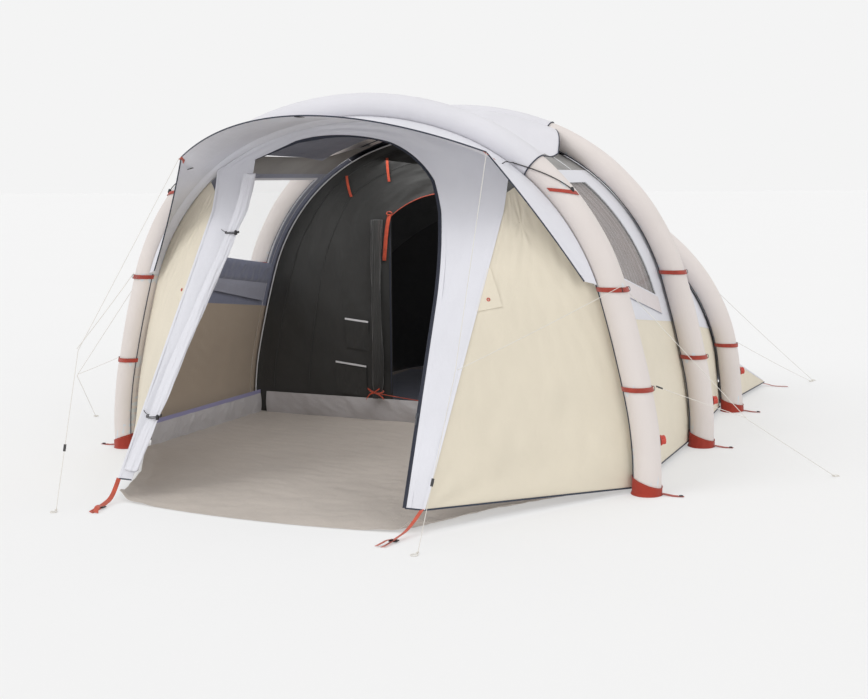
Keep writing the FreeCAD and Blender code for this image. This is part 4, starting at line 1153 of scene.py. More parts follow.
def front_walls():
    ends = (0.003, BAY - 0.003)
    rows = (14, 34, 5)
    for side in SIDES:
        foot, foot_back, top_back, top = WINDOWS[side]
        border = [(y, 0.880 - 0.145 * y / BAY) for y in (ends[0], foot[0], foot_back[0], ends[1])]
        beyond = foot_back[1] - 0.17 * (ends[1] - foot_back[0])
        controls = [border, [(ends[0], 1.140), foot, foot_back, (ends[1], beyond)],
                    [(ends[0], top[1]), top, top_back, (ends[1], top[1])],
                    [(y, VENT_SILL) for y in (ends[0], top[0], top_back[0], ends[1])]]
        columns = WALL_COLUMNS[side]
        yz = net(controls, columns, rows)
        keep = np.ones((sum(rows), sum(columns)), bool)
        keep[rows[0]:rows[0] + rows[1], columns[0]:columns[0] + columns[1]] = False
        grid = sided(wall_point(yz[..., 0], yz[..., 1]), side)
        ripple = combine(folds(31, 0.0016, 0.13, 0.6, 0.0), folds(32, 0.0007, 0.05, 0.25, 1.3),
                         edge=0.06, sag=0.0)
        # Back face in the dark grey-lilac: painted shade on the inside.
        sheet(f"front_wall_{side}", grid, "white", out_right(side), ripple, keep=keep,
              node="front_walls", second="lilac_and_inside_shade")
        window(side)
        line = WINDOWS[side][:2]
        ys = np.linspace(line[0][0] - 0.02, line[1][0] + 0.012, 60)
        zs = np.interp(ys, [p[0] for p in line], [p[1] for p in line])
        a = wall_point(ys, zs - 0.004, 0.0695)
        b = wall_point(ys, zs - 0.098, 0.0705)
        strip = np.stack([a * (1 - s) + b * s for s in np.linspace(0, 1, 12)], 1)
        ripple = combine(folds(33, 0.0016, 0.06, 0.16, 0.5), folds(34, 0.0009, 0.03, 0.1, 2.0),
                         edge=0.012)
        sheet(f"window_sill_strip_{side}", sided(strip, side), "curtain_pale", out_right(side),
              ripple, thick=0.0010, held="stretched")
        stitch = sided(wall_point(ys, zs - 0.0985, 0.0700), side)
        piece = tube(f"window_sill_stitch_{side}", stitch, 0.0012, "lilac_and_inside_shade", sides=5)


def window(side):
    """Clear film with a welded frame all round."""
    foot, foot_back, top_back, top = WINDOWS[side]
    yz = net([[foot, foot_back], [top, top_back]], (30,), (24,))
    grid = sided(wall_point(yz[..., 0], yz[..., 1], 0.0752), side)
    ripple = combine(folds(41, 0.0016, 0.20, 0.6, 0.4), edge=0.05)
    piece = sheet(f"window_film_{side}", grid, "film", out_right(side), ripple, thick=0.0006,
                  node="windows", held="stretched")
    piece.visible_shadow = False
    corners = WINDOWS[side] + [foot]
    made = []
    for (y0, z0), (y1, z1) in zip(corners, corners[1:]):
        way = unit([y1 - y0, z1 - z0])
        in_y, in_z = -way[1] * 0.005, way[0] * 0.005
        s = np.linspace(0, 1, 24)
        y, z = y0 + (y1 - y0) * s, z0 + (z1 - z0) * s
        for inset, out in ((0.0742, 1), (0.0768, -1)):
            a = wall_point(y + in_y, z + in_z, inset)
            b = wall_point(y - in_y * 1.8, z - in_z * 1.8, inset)
            lift = np.array([SIDES[side] * out, 0, 0])
            made.append(tape("edge", sided(a, side), sided(b, side), lift,
                             "white", 0.0012, finish=False))
    joined(f"window_frame_{side}", made)


def curtain():
    """The right window's curtain, hung in loose folds behind the film."""
    controls = [[(0.155, 1.085), (1.075, 0.870)], [(0.155, 1.570), (0.965, 1.570)]]
    yz = net(controls, (190,), (60,))
    grid = wall_point(yz[..., 0], yz[..., 1], 0.0935)
    u = np.linspace(0, 1, 191)[None, :]
    t = np.linspace(0, 1, 61)[:, None]
    gather = (np.sin(TAU * (11 * u + 0.5 * np.sin(5 * u) + 0.25 * t))
              + 0.6 * np.sin(TAU * (23 * u + 0.3 * t + 0.4 * np.sin(9 * u))))
    depth = 0.0085 * gather * (0.35 + 0.65 * np.sin(math.pi * np.clip(1.05 - t * 0.95, 0, 1)) ** 0.6)
    grid[..., 0] += depth
    sheet("window_curtain", grid, "curtain", (1, 0, 0.3), None, node="window_curtains",
          thick=0.0010, held="gathered",
          flat=(1.18, 0.68))
    ys = np.linspace(0.195, 1.225, 84)
    top = 1.075 - 0.128 * (ys - 0.79)
    foot = 0.859 - 0.191 * (ys - 0.765)
    rows = []
    for s in np.linspace(0, 1, 15):
        inset = 0.094 + 0.012 * math.sin(math.pi * s) ** 0.7 + 0.002 * math.sin(9 * s)
        rows.append(wall_point(ys, top - 0.130 * s, inset))
    ripple = combine(folds(44, 0.0035, 0.09, 0.12, 0.15), folds(45, 0.0016, 0.035, 0.1, 0.3),
                     edge=0.02)
    sheet("curtain_pocket", mirror(np.stack(rows, 1)), "lilac_and_inside_shade", (1, 0, -0.2), ripple,
          held="hung", thick=0.0012)
    rows = [wall_point(ys, (top - 0.130) * (1 - s) + foot * s, 0.0935 + 0.002 * math.sin(5 * s))
            for s in np.linspace(0, 1, 12)]
    ripple = combine(folds(46, 0.0022, 0.035, 0.09, 0.05), edge=0.01)
    sheet("curtain_pocket_hem", mirror(np.stack(rows, 1)), "lilac_light", (1, 0, -0.2), ripple,
          held="hung", thick=0.0012)


def hem_line(name, line, side):
    """Dark piping on a lower edge."""
    tube(f"{name}_piping_{side}", np.asarray(line), 0.0044, "navy", sides=6)


def front_skirts():
    controls = [[(0.003, HEM_Z), (BAY - 0.003, HEM_Z)], [(0.003, 0.880), (BAY - 0.003, 0.735)]]
    yz = net(controls, (64,), (44,))
    for side in SIDES:
        grid = sided(wall_point(yz[..., 0], yz[..., 1]), side)
        ripple = combine(folds(51, 0.0020, 0.17, 0.7, 1.45), folds(52, 0.0012, 0.08, 0.4, 0.2),
                         fan((0.0, 0.0), 0.003, 8, 0.20, 1), fan((0.0, 1.25), 0.003, 8, 0.20, 2),
                         edge=0.05)
        # Back face in darker beige: painted shade on the inside.
        sheet(f"front_skirt_{side}", grid, "beige", out_right(side), ripple,
              node="front_skirts", second="beige_inside_painted_shade")
        hem_line("front_skirt", grid[0], side)
        seam(f"front_border_{side}", grid[-1], grid[-2], out_right(side), "white")


def seam(name, edge, inner, out, mat, wide=0.012, thick=0.0012):
    """A felled seam lapped over a panel's edge, centred on it."""
    way = unit(inner - edge)
    lift = np.tile(unit(out), (len(edge), 1))
    piece = tape(name, edge - way * wide / 2 + lift * 0.0006, edge + way * wide / 2 + lift * 0.0006,
                 lift, mat, thick)


def bay_grid(z_front, z_back, rows, columns):
    """Right-hand ruled panel of the bedroom bay between heights at its two arches."""
    u0 = [MIDDLE.height_u(z, FLY_INSET) for z in z_front]
    u1 = [REAR.height_u(z, FLY_INSET) for z in z_back]
    grid = []
    for s in np.linspace(0, 1, rows):
        a = MIDDLE.at(u0[0] + (u0[1] - u0[0]) * s, FLY_INSET)
        b = REAR.at(u1[0] + (u1[1] - u1[0]) * s, SLOPED_INSET)
        a = a + (b - a) * (0.003 / (b - a)[1])
        b = b - (b - a) * (0.003 / (b - a)[1])
        grid.append([a * (1 - t) + b * t for t in np.linspace(0, 1, columns)])
    return np.array(grid)


def middle_bay():
    for side in SIDES:
        grid = sided(bay_grid((BORDER[1], 1.70), (BORDER[2], 1.25), 44, 50), side)
        ripple = combine(folds(61, 0.0022, 0.22, 0.8, 0.1), folds(62, 0.0010, 0.08, 0.4, 1.2),
                         edge=0.07)
        # Back face in the dark grey-lilac: painted shade on the inside.
        sheet(f"middle_wall_{side}", grid, "white", out_right(side), ripple,
              node="middle_walls", second="lilac_and_inside_shade")
        grid = sided(bay_grid((HEM_Z, BORDER[1]), (HEM_Z, BORDER[2]), 36, 50), side)
        ripple = combine(folds(63, 0.0020, 0.18, 0.7, 1.45), fan((0, 0), 0.003, 8, 0.2, 3),
                         fan((0, 1.2), 0.003, 8, 0.2, 4), edge=0.05)
        # Back face in darker beige: painted shade on the inside.
        sheet(f"middle_skirt_{side}", grid, "beige", out_right(side), ripple,
              node="middle_skirts", second="beige_inside_painted_shade")
        hem_line("middle_skirt", grid[0], side)
        seam(f"middle_border_{side}", grid[-1], grid[-2], out_right(side), "white")
    top = MIDDLE.height_u(1.70, FLY_INSET)
    low = REAR.height_u(1.25, FLY_INSET)
    grid = []
    for share in np.linspace(-1, 1, 121):
        hold = smooth((1 - abs(share)) / 0.06)
        plain = MIDDLE.at(top * share, FLY_INSET, 0.003)
        raised = on_beam(MIDDLE, top * share, 52, 0.0744)
        a = plain * (1 - hold) + raised * hold
        b = REAR.at(low * share, SLOPED_INSET, -0.003)
        grid.append([a * (1 - t) + b * t for t in np.linspace(0, 1, 50)])
    grid = np.array(grid)
    ripple = combine(folds(64, 0.0026, 0.28, 0.9, 0.0), folds(65, 0.0012, 0.1, 0.5, 0.3),
                     edge=0.10, sag=0.0)
    # Back face in the dark grey-lilac: painted shade on the inside.
    sheet("roof_middle_panel", grid, "roof", (0, 0, 1), ripple, node="roof_middle",
          second="lilac_and_inside_shade")


def rear_panels():
    u = REAR.height_u(0.420, FLY_INSET)
    grid = []
    for share in np.linspace(-1, 1, 121):
        a = REAR.at(u * share, FLY_INSET, 0.003)
        b = np.array([1.530 * share * 0.985, HEM_Y, 0.022])
        grid.append([a * (1 - t) + b * t for t in np.linspace(0, 1, 60)])
    grid = np.array(grid)
    ripple = combine(folds(71, 0.0030, 0.30, 1.1, 0.0), folds(72, 0.0014, 0.1, 0.5, 0.25),
                     fan((0.0, 1.3), 0.004, 9, 0.3, 2), fan((3.6, 1.3), 0.004, 9, 0.3, 5), edge=0.08,
                     sag=0.012)
    # Back face in the dark grey-lilac: painted shade on the inside.
    sheet("rear_slope", grid, "roof", (0, 0.6, 1), ripple, node="rear_panel",
          second="lilac_and_inside_shade")
    tube("rear_hem_piping", grid[:, -1], 0.0036, "navy", sides=6)
    made = []
    for k in (36, 84):
        out = grid_normals(grid)[k]
        out = out if out[0][2] > 0 else -out
        t = np.linspace(0, 1, grid.shape[1])
        line = grid[k] - out * (0.0105 * 4 * t * (1 - t))[:, None]
        wide = np.array([0.007, 0, 0])
        made.append(tape("seam", line - wide, line + wide, out, "roof", 0.0014, finish=False))
    joined("rear_slope_seams", made)
    high = REAR.height_u(0.420, FLY_INSET)
    low = REAR.height_u(HEM_Z, FLY_INSET)
    corner = np.array([1.530, HEM_Y - 0.012, 0.022])
    for side in SIDES:
        grid = []
        for s in np.linspace(0, 1, 22):
            leg = REAR.at(low + (high - low) * s, FLY_INSET, 0.003)
            tip = corner + np.array([-0.006, -0.030, 0.016]) * s
            grid.append([leg * (1 - t) + tip * t for t in np.linspace(0, 1, 48)])
        grid = sided(np.array(grid), side)
        ripple = combine(folds(73, 0.0016, 0.12, 0.5, 1.4), edge=0.03)
        # Back face in darker beige: painted shade on the inside.
        sheet(f"rear_side_{side}", grid, "beige", out_right(side), ripple,
              node="rear_sides", second="beige_inside_painted_shade")
        hem_line("rear_side", grid[0], side)
        seam(f"rear_border_{side}", grid[-1], grid[-2], (SIDES[side] * 0.7, 0.3, 0.6), "white")


M["curtain_pale"] = cloth("window_strip_cloth", linear(214, 206, 206), rough=0.5, crinkle=0.003,
                          crinkle_scale=40.0)
M["lilac_light"] = cloth("pocket_cloth", linear(160, 162, 176), rough=0.5, crinkle=0.003)
# Back face of the beige panels: the beige made darker, which is painted shade inside the tent.
M["beige_inside_painted_shade"] = cloth("beige_reverse_painted_shade", linear(170, 155, 138), crinkle=0.002)
beam_cover("middle", MIDDLE.height_u(1.757, FLY_INSET), -58, 58)
roof_front()
vents()
front_walls()
curtain()
front_skirts()
middle_bay()
rear_panels()


# ---- porch -------------------------------------------------------------------------

PORCH_FOOT_Y, PORCH_LEAN, PORCH_HEM_Z = -1.123, 0.722, 0.098
KINK_Z = 1.400


def front_y(z):
    """The porch front's face, counted from the front arch: it turns up beside the arch."""
    z = np.asarray(z, float)
    kink = PORCH_FOOT_Y + PORCH_LEAN * KINK_Z
    share = np.clip((z - KINK_Z) / 0.480, 0, 1)
    return np.where(z <= KINK_Z, PORCH_FOOT_Y + PORCH_LEAN * z,
                    kink + (-kink - 0.012) * (1 - (1 - share) ** 2))


def front_half(z):
    return 0.832 + 0.016 * (np.asarray(z) - PORCH_HEM_Z)


def on_porch(x, z, out=0.0):
    """A point of the porch front, out metres in front of its face."""
    x, z = np.broadcast_arrays(np.asarray(x, float), np.asarray(z, float))
    rise = np.gradient(front_y(np.linspace(0, 2, 401)), 0.005)
    slope = np.interp(z, np.linspace(0, 2, 401), rise)
    size = np.sqrt(1 + slope ** 2)
    return np.stack([x, front_y(z) + FRONT_Y - out / size, z + out * slope / size], -1)


def arc_through(a, b, c, count):
    """Points on the circle through three (x, z) points."""
    (ax, az), (bx, bz), (cx, cz) = a, b, c
    d = 2 * (ax * (bz - cz) + bx * (cz - az) + cx * (az - bz))
    sa, sb, sc = ax * ax + az * az, bx * bx + bz * bz, cx * cx + cz * cz
    ox = (sa * (bz - cz) + sb * (cz - az) + sc * (az - bz)) / d
    oz = (sa * (cx - bx) + sb * (ax - cx) + sc * (bx - ax)) / d
    r = math.hypot(ax - ox, az - oz)
    t0, t1, t2 = (math.atan2(z - oz, x - ox) for x, z in (a, b, c))
    while t1 < t0 - math.pi:
        t1 += TAU
    while t1 > t0 + math.pi:
        t1 -= TAU
    while t2 < t1 - math.pi:
        t2 += TAU
    while t2 > t1 + math.pi:
        t2 -= TAU
    ts = np.linspace(t0, t2, count)
    return np.stack([ox + r * np.cos(ts), oz + r * np.sin(ts)], 1)


def stretch(points, count):
    """Evenly spaced points along a polyline."""
    points = np.asarray(points, float)
    run = np.concatenate([[0], np.cumsum(np.linalg.norm(np.diff(points, axis=0), axis=1))])
    at = np.linspace(0, run[-1], count)
    return np.stack([np.interp(at, run, points[:, k]) for k in range(points.shape[1])], 1)


def door_edge():
    """The door opening's outline in (x, z), in six stretches from the right foot round."""
    foot = PORCH_HEM_Z
    right = (0.753 - 0.136 * foot, foot)
    right_top = (0.753 - 0.136 * 0.980, 0.980)
    left_foot_x = -0.762 + (foot - 0.038) * (0.762 - 0.625) / (1.675 - 0.038)
    return [stretch([right, right_top], 34),
            arc_through(right_top, (0.550, 1.290), (0.455, 1.555), 24),
            arc_through((0.455, 1.555), (0.345, 1.668), (0.190, 1.755), 16),
            arc_through((0.190, 1.755), (-0.060, 1.795), (-0.370, 1.770), 22),
            stretch([(-0.370, 1.770), (-0.625, 1.675)], 12),
            stretch([(-0.625, 1.675), (left_foot_x, foot)], 56)]


def porch_border():
    """The porch front's outer outline matched to the door's six stretches."""
    heights, xs = side_table(0.0752)
    zs = np.linspace(1.3, 1.80, 400)
    meet = float(zs[np.argmin(np.abs(front_half(zs) - np.interp(zs, heights, xs)))])
    crown_us = np.linspace(FRONT.height_u(meet, 0.0752), 0, 200)
    arch = np.array([FRONT.at(u, 0.0752)[[0, 2]] for u in crown_us])
    mirrored = arch[::-1] * np.array([-1, 1])

    def seam_line(low, high, count):
        z = np.linspace(low, high, count)
        return np.stack([front_half(z), z], 1)

    def share(points, a, b, count):
        points = np.asarray(points)
        run = np.concatenate([[0], np.cumsum(np.linalg.norm(np.diff(points, axis=0), axis=1))])
        at = np.linspace(run[-1] * a, run[-1] * b, count)
        return np.stack([np.interp(at, run, points[:, k]) for k in range(2)], 1)

    over = np.concatenate([arch, mirrored[1:]])
    left = seam_line(PORCH_HEM_Z, meet, 60)[::-1] * np.array([-1, 1])
    return [seam_line(PORCH_HEM_Z, 0.980, 34), seam_line(0.980, meet, 24),
            share(over, 0.0, 0.25, 16), share(over, 0.25, 0.74, 22), share(over, 0.74, 1.0, 12),
            share(left, 0.0, 1.0, 56)]


def porch_front():
    inner = np.concatenate([p[:-1] for p in door_edge()] + [door_edge()[-1][-1:]])
    outer = np.concatenate([p[:-1] for p in porch_border()] + [porch_border()[-1][-1:]])
    shares = np.linspace(0, 1, 19)[None, :, None]
    flat = inner[:, None] * (1 - shares) + outer[:, None] * shares
    grid = on_porch(flat[..., 0], flat[..., 1])
    ripple = combine(folds(81, 0.0030, 0.11, 1.4, math.pi / 2), folds(82, 0.0012, 0.05, 0.5, 1.4),
                     fan((0.0, 0.04), 0.003, 7, 0.25, 1), edge=0.02)
    # Back face in the dark grey-lilac: painted shade on the inside.
    sheet("porch_front_panel", grid, "white", (0, -1, 0.7), ripple, node="porch_front",
          second="lilac_and_inside_shade")
    for side, hem in (("right", grid[0]), ("left", grid[-1])):
        tube(f"porch_hem_piping_{side}", hem, 0.0036, "navy", sides=6)
    for side, rows in (("right", slice(0, 34 + 22)), ("left", slice(-57, None))):
        edge = grid[rows, -1]
        a = edge + np.array([-0.008 * SIDES[side], -0.0012, 0.0005])
        b = edge + np.array([0.006 * SIDES[side], -0.0006, 0.0005])
        tape(f"porch_seam_{side}", a, b, (0, -1, 0.7), "white", 0.0012)
    zip_count = sum(len(p) - 1 for p in door_edge()[:5])
    line = inner[:zip_count + 1]
    way = unit(inner - outer)[:zip_count + 1]

    def beside(points, across, shift, lift):
        points = points + across * shift
        return on_porch(points[:, 0], points[:, 1], lift)

    made = [tape("door_zip", beside(line, way, -0.005, 0.0012), beside(line, way, 0.013, 0.0006),
                 (0, -1, 0.7), "zip", 0.0016, finish=False)]
    chain = (line + way * 0.0075)[3:-8]
    centre = on_porch(chain[:, 0], chain[:, 1], 0.0026)
    made.append(tube("coil", centre, 0.0020, "zip", sides=6, finish=False))
    left = inner[zip_count:]
    lw = unit(inner - outer)[zip_count:]
    hem = tape("door_left_hem", beside(left, lw, -0.012, 0.0008), beside(left, lw, 0.002, 0.0008),
               (0, -1, 0.7), "white", 0.0016)
    piece = joined("door_zip_tape", made)
    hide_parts("zip_chains")
    tape("door_edge_facing", beside(line, way, -0.030, 0.0002),
                 beside(line, way, -0.006, 0.0002), (0, -1, 0.7), "white", 0.0014)


def porch_sides():
    u_low = FRONT.height_u(HEM_Z, FLY_INSET)
    u_high = FRONT.height_u(1.560, FLY_INSET)
    for side in SIDES:
        grid = []
        for s in np.linspace(0, 1, 90):
            z = PORCH_HEM_Z + (1.490 - PORCH_HEM_Z) * s
            a = np.array([front_half(z) + 0.001, front_y(z) + FRONT_Y + 0.001, z], float)
            b = FRONT.at(u_low + (u_high - u_low) * s, FLY_INSET, -0.003)
            grid.append([a * (1 - t) + b * t for t in np.linspace(0, 1, 76)])
        grid = sided(np.array(grid), side)
        ripple = combine(folds(85, 0.0026, 0.22, 1.0, 0.15), folds(86, 0.0016, 0.10, 0.5, 1.45),
                         fan((0.0, 0.0), 0.006, 9, 0.42, 2), fan((0.0, 1.1), 0.004, 8, 0.25, 1),
                         fan((1.4, 0.3), 0.003, 7, 0.3, 1), edge=0.06, sag=0.004)
        # Back face in darker beige: painted shade on the inside.
        sheet(f"porch_side_{side}", grid, "beige", out_right(side), ripple,
              node="porch_sides", second="beige_inside_painted_shade")
        hem_line("porch_side", grid[0], side)


VISOR_ROOT = (FRONT.height_u(1.600), FRONT.height_u(1.062))
VISOR_CORNER = np.array([0.868, -0.375, 1.690])
VISOR_END = np.array([1.272, -0.092, 1.060])


STRAP_Z = 1.500


def visor_edge(share):
    """Right half of the brim's free edge: 0 at the middle, 1 at the corner, 2 at its end."""
    if share <= 1.0:
        point = (0.868 * share, -0.655 + 0.280 * share ** 2, 1.872 - 0.182 * share ** 2)
        return place(*point)
    rest = share - 1.0
    belly = np.array([0.0, 0.022, 0.008]) * (4 * rest * (1 - rest))
    point = VISOR_CORNER + (VISOR_END - VISOR_CORNER) * rest + belly
    return place(*point)


def visor():
    """Brim over the porch with its piped edge, tapering down each leg."""
    grid = []
    shares = np.linspace(-2, 2, 161)
    for share in shares:
        side, along = (1.0 if share >= 0 else -1.0), abs(share)
        u = VISOR_ROOT[0] * min(along, 1.0)
        if along > 1.0:
            u = VISOR_ROOT[0] + (VISOR_ROOT[1] - VISOR_ROOT[0]) * (along - 1.0)
        root = FRONT.at(u, 0.050, -0.062) * np.array([side, 1, 1])
        edge = visor_edge(along) * np.array([side, 1, 1])
        row = []
        for t in np.linspace(0, 1, 22):
            p = root * (1 - t) + edge * t
            hang = 0.010 * 4 * t * (1 - t) * smooth((1.35 - along) / 0.5)
            row.append(p - np.array([0, 0, hang]))
        grid.append(row)
    grid = np.array(grid)
    ripple = combine(folds(91, 0.0020, 0.20, 0.5, 0.1), folds(92, 0.0010, 0.07, 0.3, 0.2),
                     fan((1.05, 0.66), 0.006, 8, 0.2, 1), fan((3.3, 0.66), 0.006, 8, 0.2, 2),
                     edge=0.035)
    sheet("visor_brim", grid, "white", (0, -0.2, 1), ripple, node="visor")
    end = FRONT.height_u(1.06)
    strip = np.array([[FRONT.at(u, inset, dy) for inset, dy in
                       ((0.050, -0.0635), (0.062, -0.0510), (0.0715, -0.0335), (0.0765, -0.0140))]
                      for u in np.linspace(-end, end, 161)])
    sheet("visor_root_strip", strip, "white", (0, -1, 0), None, thick=0.0012)
    edge = grid[:, -1]
    tube("visor_piping", edge, 0.0036, "navy", sides=6)
    normals = grid_normals(grid)[:, -1]
    normals = np.where(normals[:, 2:3] < 0, -normals, normals)
    inward = unit(grid[:, -3] - edge)
    for name, lift in (("top", 1), ("under", -1)):
        n = normals * lift * 0.0015
        a = edge + inward * 0.002 + n
        b = edge + inward * 0.026 + n
        piece = tape(f"visor_hem_{name}", a[2:-2], b[2:-2], normals[2:-2] * lift, "white", 0.0010)
    middle = len(edge) // 2
    seat, way, out = edge[middle], inward[middle], normals[middle]
    tab = np.array([seat - way * 0.006 - out * 0.004, seat + way * 0.010 - out * 0.005,
                    seat + way * 0.032 - out * 0.0042, seat + way * 0.05 - out * 0.0036])
    wide = np.array([0.013, 0, 0])
    tape("visor_middle_tab", tab - wide, tab + wide, -out, "black_plastic", 0.0022)
    for side in SIDES:
        flip = np.array([SIDES[side], 1, 1])
        k = int(np.argmin(np.abs(shares - 1.0)))
        root, at = grid[k, -6], grid[k, -1]
        tip = VISOR_TAB.copy()
        line = np.array([root * 0.6 + at * 0.4, at, (at + tip) / 2, tip])
        line = line - np.array([0, 0, 0.0045])
        across = unit(grid[k + 1, -1] - grid[k - 1, -1]) * np.array([0.020, 0.020, 0.020])
        narrow = np.array([1.0, 0.85, 0.55, 0.25])[:, None]
        a, b = (line - across * narrow) * flip, (line + across * narrow) * flip
        tape(f"visor_corner_tab_{side}", a, b, (0, -0.4, -1), "orange", 0.0018)
        count = 44
        strap_end = FRONT.height_u(STRAP_Z) + 0.050
        path = []
        for s in np.linspace(0, 1, count):
            u = FRONT.height_u(1.672) + (strap_end - FRONT.height_u(1.672)) * s
            path.append(on_beam(FRONT, u, -118 + 92 * s, 0.0772 + 0.0012 * math.sin(math.pi * s)))
        path = [visor_edge(1.10) + np.array([-0.012, 0.06, -0.004]),
                visor_edge(1.06) * 0.35 + path[0] * 0.65] + path
        piece = tube(f"visor_elastic_{side}", np.array(path) * flip, 0.0026, "dark_line", sides=8)
        toggle(f"visor_toggle_{side}", path[-1] * flip, (0.35 * SIDES[side], -0.1, -0.9), "tent")
        strap_band(side)


def strap_band(side):
    """Webbing that goes round the front beam and takes the visor's elastic."""
    s = SIDES[side]
    piece = level_tape(FRONT, s, FRONT.height_u(STRAP_Z) - 0.012, np.linspace(-100, -12, 40),
                       drift=0.018, radius=0.0752)
    piece = joined(f"visor_strap_{side}", [piece])


def toggle(name, at, along, body):
    """Cord lock: a ribbed barrel with a button end."""
    along = unit(along)
    at = np.asarray(at)
    ss = np.linspace(-1, 1, 34)
    line = [at + along * 0.013 * s for s in ss]
    around = 20
    up = np.array([0.0, 0.0, 1.0]) if abs(along[2]) < 0.9 else np.array([1.0, 0.0, 0.0])
    side = unit(np.cross(along, up))
    third = np.cross(side, along)
    theta = np.arange(around) * TAU / around
    rows = []
    for s, c in zip(ss, line):
        r = 0.0088 * (1 - 0.16 * abs(s) ** 6) - 0.0007 * (0.5 + 0.5 * math.cos(TAU * s * 3.5))
        if s > 0.62:
            r *= 0.80
        r = r * (1 - max(0, abs(s) - 0.9) * 4.5)
        rows.append(c + (np.cos(theta)[:, None] * side + np.sin(theta)[:, None] * third) * r)
    verts = np.array(rows).reshape(-1, 3)
    piece = new_object(name, verts, ring_faces(len(ss), around, capped=True), "black_plastic",
                       np.stack([np.repeat(ss, around), np.tile(theta, len(ss))], 1))
    fix_normals(piece)
    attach(piece, body)
    return piece


def roll_centre(z):
    x = -0.762 + 0.0865 * z + 0.004
    return np.array([x, front_y(z) + FRONT_Y - 0.056, z], float)


TIES = {"lower": 0.395, "upper": 1.290}


def door_flap():
    """The door, rolled up along the left jamb and pinched by its two ties."""
    zs = np.linspace(0.150, 1.600, 130)
    around = 56
    theta = np.linspace(0, TAU * 1.0, around)
    rows = []
    for z in zs:
        c = roll_centre(z)
        pinch = sum(math.exp(-((z - t) / 0.075) ** 2) for t in TIES.values())
        base = 0.0305 - 0.0050 * pinch
        spill = 0.004 * math.sin(5.1 * z + 0.6) + 0.002 * math.sin(17 * z)
        r = base + 0.0032 * np.sin(3 * theta + 5.5 * z + 0.6 * math.sin(7 * z)) * (1 - 0.5 * pinch)
        r += 0.0016 * np.sin(7 * theta - 9 * z) + 0.0010 * np.sin(12 * theta + 31 * z)
        r -= 0.0050 * np.exp(-((theta - 2.2 - 0.3 * math.sin(3 * z)) / 0.16) ** 2)
        x = c[0] + spill * 0.6 + 1.10 * r * np.cos(theta)
        y = c[1] + 0.84 * r * np.sin(theta) + 0.003 * math.sin(4 * z)
        rows.append(np.stack([x, y, np.full(around, z) + 0.004 * np.sin(2 * theta)], 1))
    verts = np.array(rows)
    verts = verts[:, :-1]
    n, m = verts.shape[:2]
    faces = ring_faces(n, m)
    points = list(verts.reshape(-1, 3))
    for row, flip in ((0, True), (n - 1, False)):
        ring = [row * m + k for k in range(m)]
        centre = verts[row].mean(0)
        for depth, size in ((0.004, 0.62), (-0.003, 0.30)):
            start = len(points)
            for k in range(m):
                p = centre + (verts[row][k] - centre) * size
                points.append(p + np.array([0, 0, depth * (1 if flip else -1)]))
            new = [start + k for k in range(m)]
            for k in range(m):
                l = (k + 1) % m
                faces.append((ring[k], ring[l], new[l], new[k]))
            ring = new
        faces.append(tuple(ring))
    uvs = np.array([[p[0] * 3, p[2]] for p in points])
    piece = new_object("door_rolled_flap", np.array(points), faces, "white", uvs)
    fix_normals(piece)
    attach(piece, "tent")
    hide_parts("door_roll")
    made = []
    for z in TIES.values():
        turn = np.linspace(0, TAU, 40, endpoint=False)
        c = roll_centre(z)
        for shift in (-0.0032, 0.0032):
            ring = [c + np.array([0.038 * math.cos(t), 0.038 * math.sin(t) * 0.92,
                                  shift + 0.002 * math.sin(t)]) for t in turn]
            made.append(tube("loop", ring, 0.0022, "dark_line", closed=True, finish=False))
        anchor = on_porch(c[0] - 0.105, z + 0.01, 0.004)
        knot = c + np.array([-0.036, 0.004, 0])
        made.append(tube("stay", bezier([anchor, (anchor + knot) / 2 + np.array([0, -0.006, -0.004]),
                                         knot], 10), 0.0018, "dark_line", finish=False))
    piece = joined("door_tie_loops", made)
    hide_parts("door_ties")
    for name, z in TIES.items():
        turn = math.radians(-35.0)
        ring = np.array([math.cos(turn), math.sin(turn), 0])
        seat = roll_centre(z) + ring * (0.038 + 0.0025 + 0.009 + 0.0015)
        piece = toggle(f"door_cord_lock_{name}", seat, (0, 0, 1), f"door_toggle_{name}")
        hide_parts(f"door_toggle_{name}")


def porch_small():
    """Triangular patches on the side seams, each with its red eyelet."""
    made = []
    for side in (-1, 1):
        rows_a, rows_b = [], []
        u_low = FRONT.height_u(HEM_Z, FLY_INSET)
        u_high = FRONT.height_u(1.560, FLY_INSET)
        for t in np.linspace(0, 1, 14):
            zz = 1.13 - 0.20 * t
            s = (zz - PORCH_HEM_Z) / (1.490 - PORCH_HEM_Z)
            left = np.array([front_half(zz) - 0.002, front_y(zz) + FRONT_Y, zz], float)
            b = FRONT.at(u_low + (u_high - u_low) * s, FLY_INSET, -0.003)
            way = unit(b - left)
            rows_a.append(left * np.array([side, 1, 1]))
            rows_b.append((left + way * (0.012 + 0.125 * t)) * np.array([side, 1, 1]))
        lift = unit(np.array([side, -0.75, 0.35]))
        rows_a, rows_b = np.array(rows_a) + lift * 0.003, np.array(rows_b) + lift * 0.004
        made.append(tape("patch", rows_a, rows_b, lift, "beige", 0.0012, finish=False))
        spot = rows_a[10] * 0.55 + rows_b[10] * 0.45 + lift * 0.0025
        turn = np.linspace(0, TAU, 18, endpoint=False)
        e1 = unit(rows_b[10] - rows_a[10])
        e2 = unit(np.cross(lift, e1))
        ring = [spot + e1 * 0.007 * math.cos(t) + e2 * 0.007 * math.sin(t) for t in turn]
        made.append(tube("eye", ring, 0.0026, "red_plastic", closed=True, finish=False))
    joined("porch_seam_patches", made)


porch_front()
porch_sides()
visor()
door_flap()
porch_small()


# ---- floor -------------------------------------------------------------------------

OUTLINE = [(-1.105, 0.790), (-0.620, 1.020), (0.0, 1.440), (0.040, 1.440), (1.250, 1.440),
           (2.480, 1.390), (3.650, 1.390)]


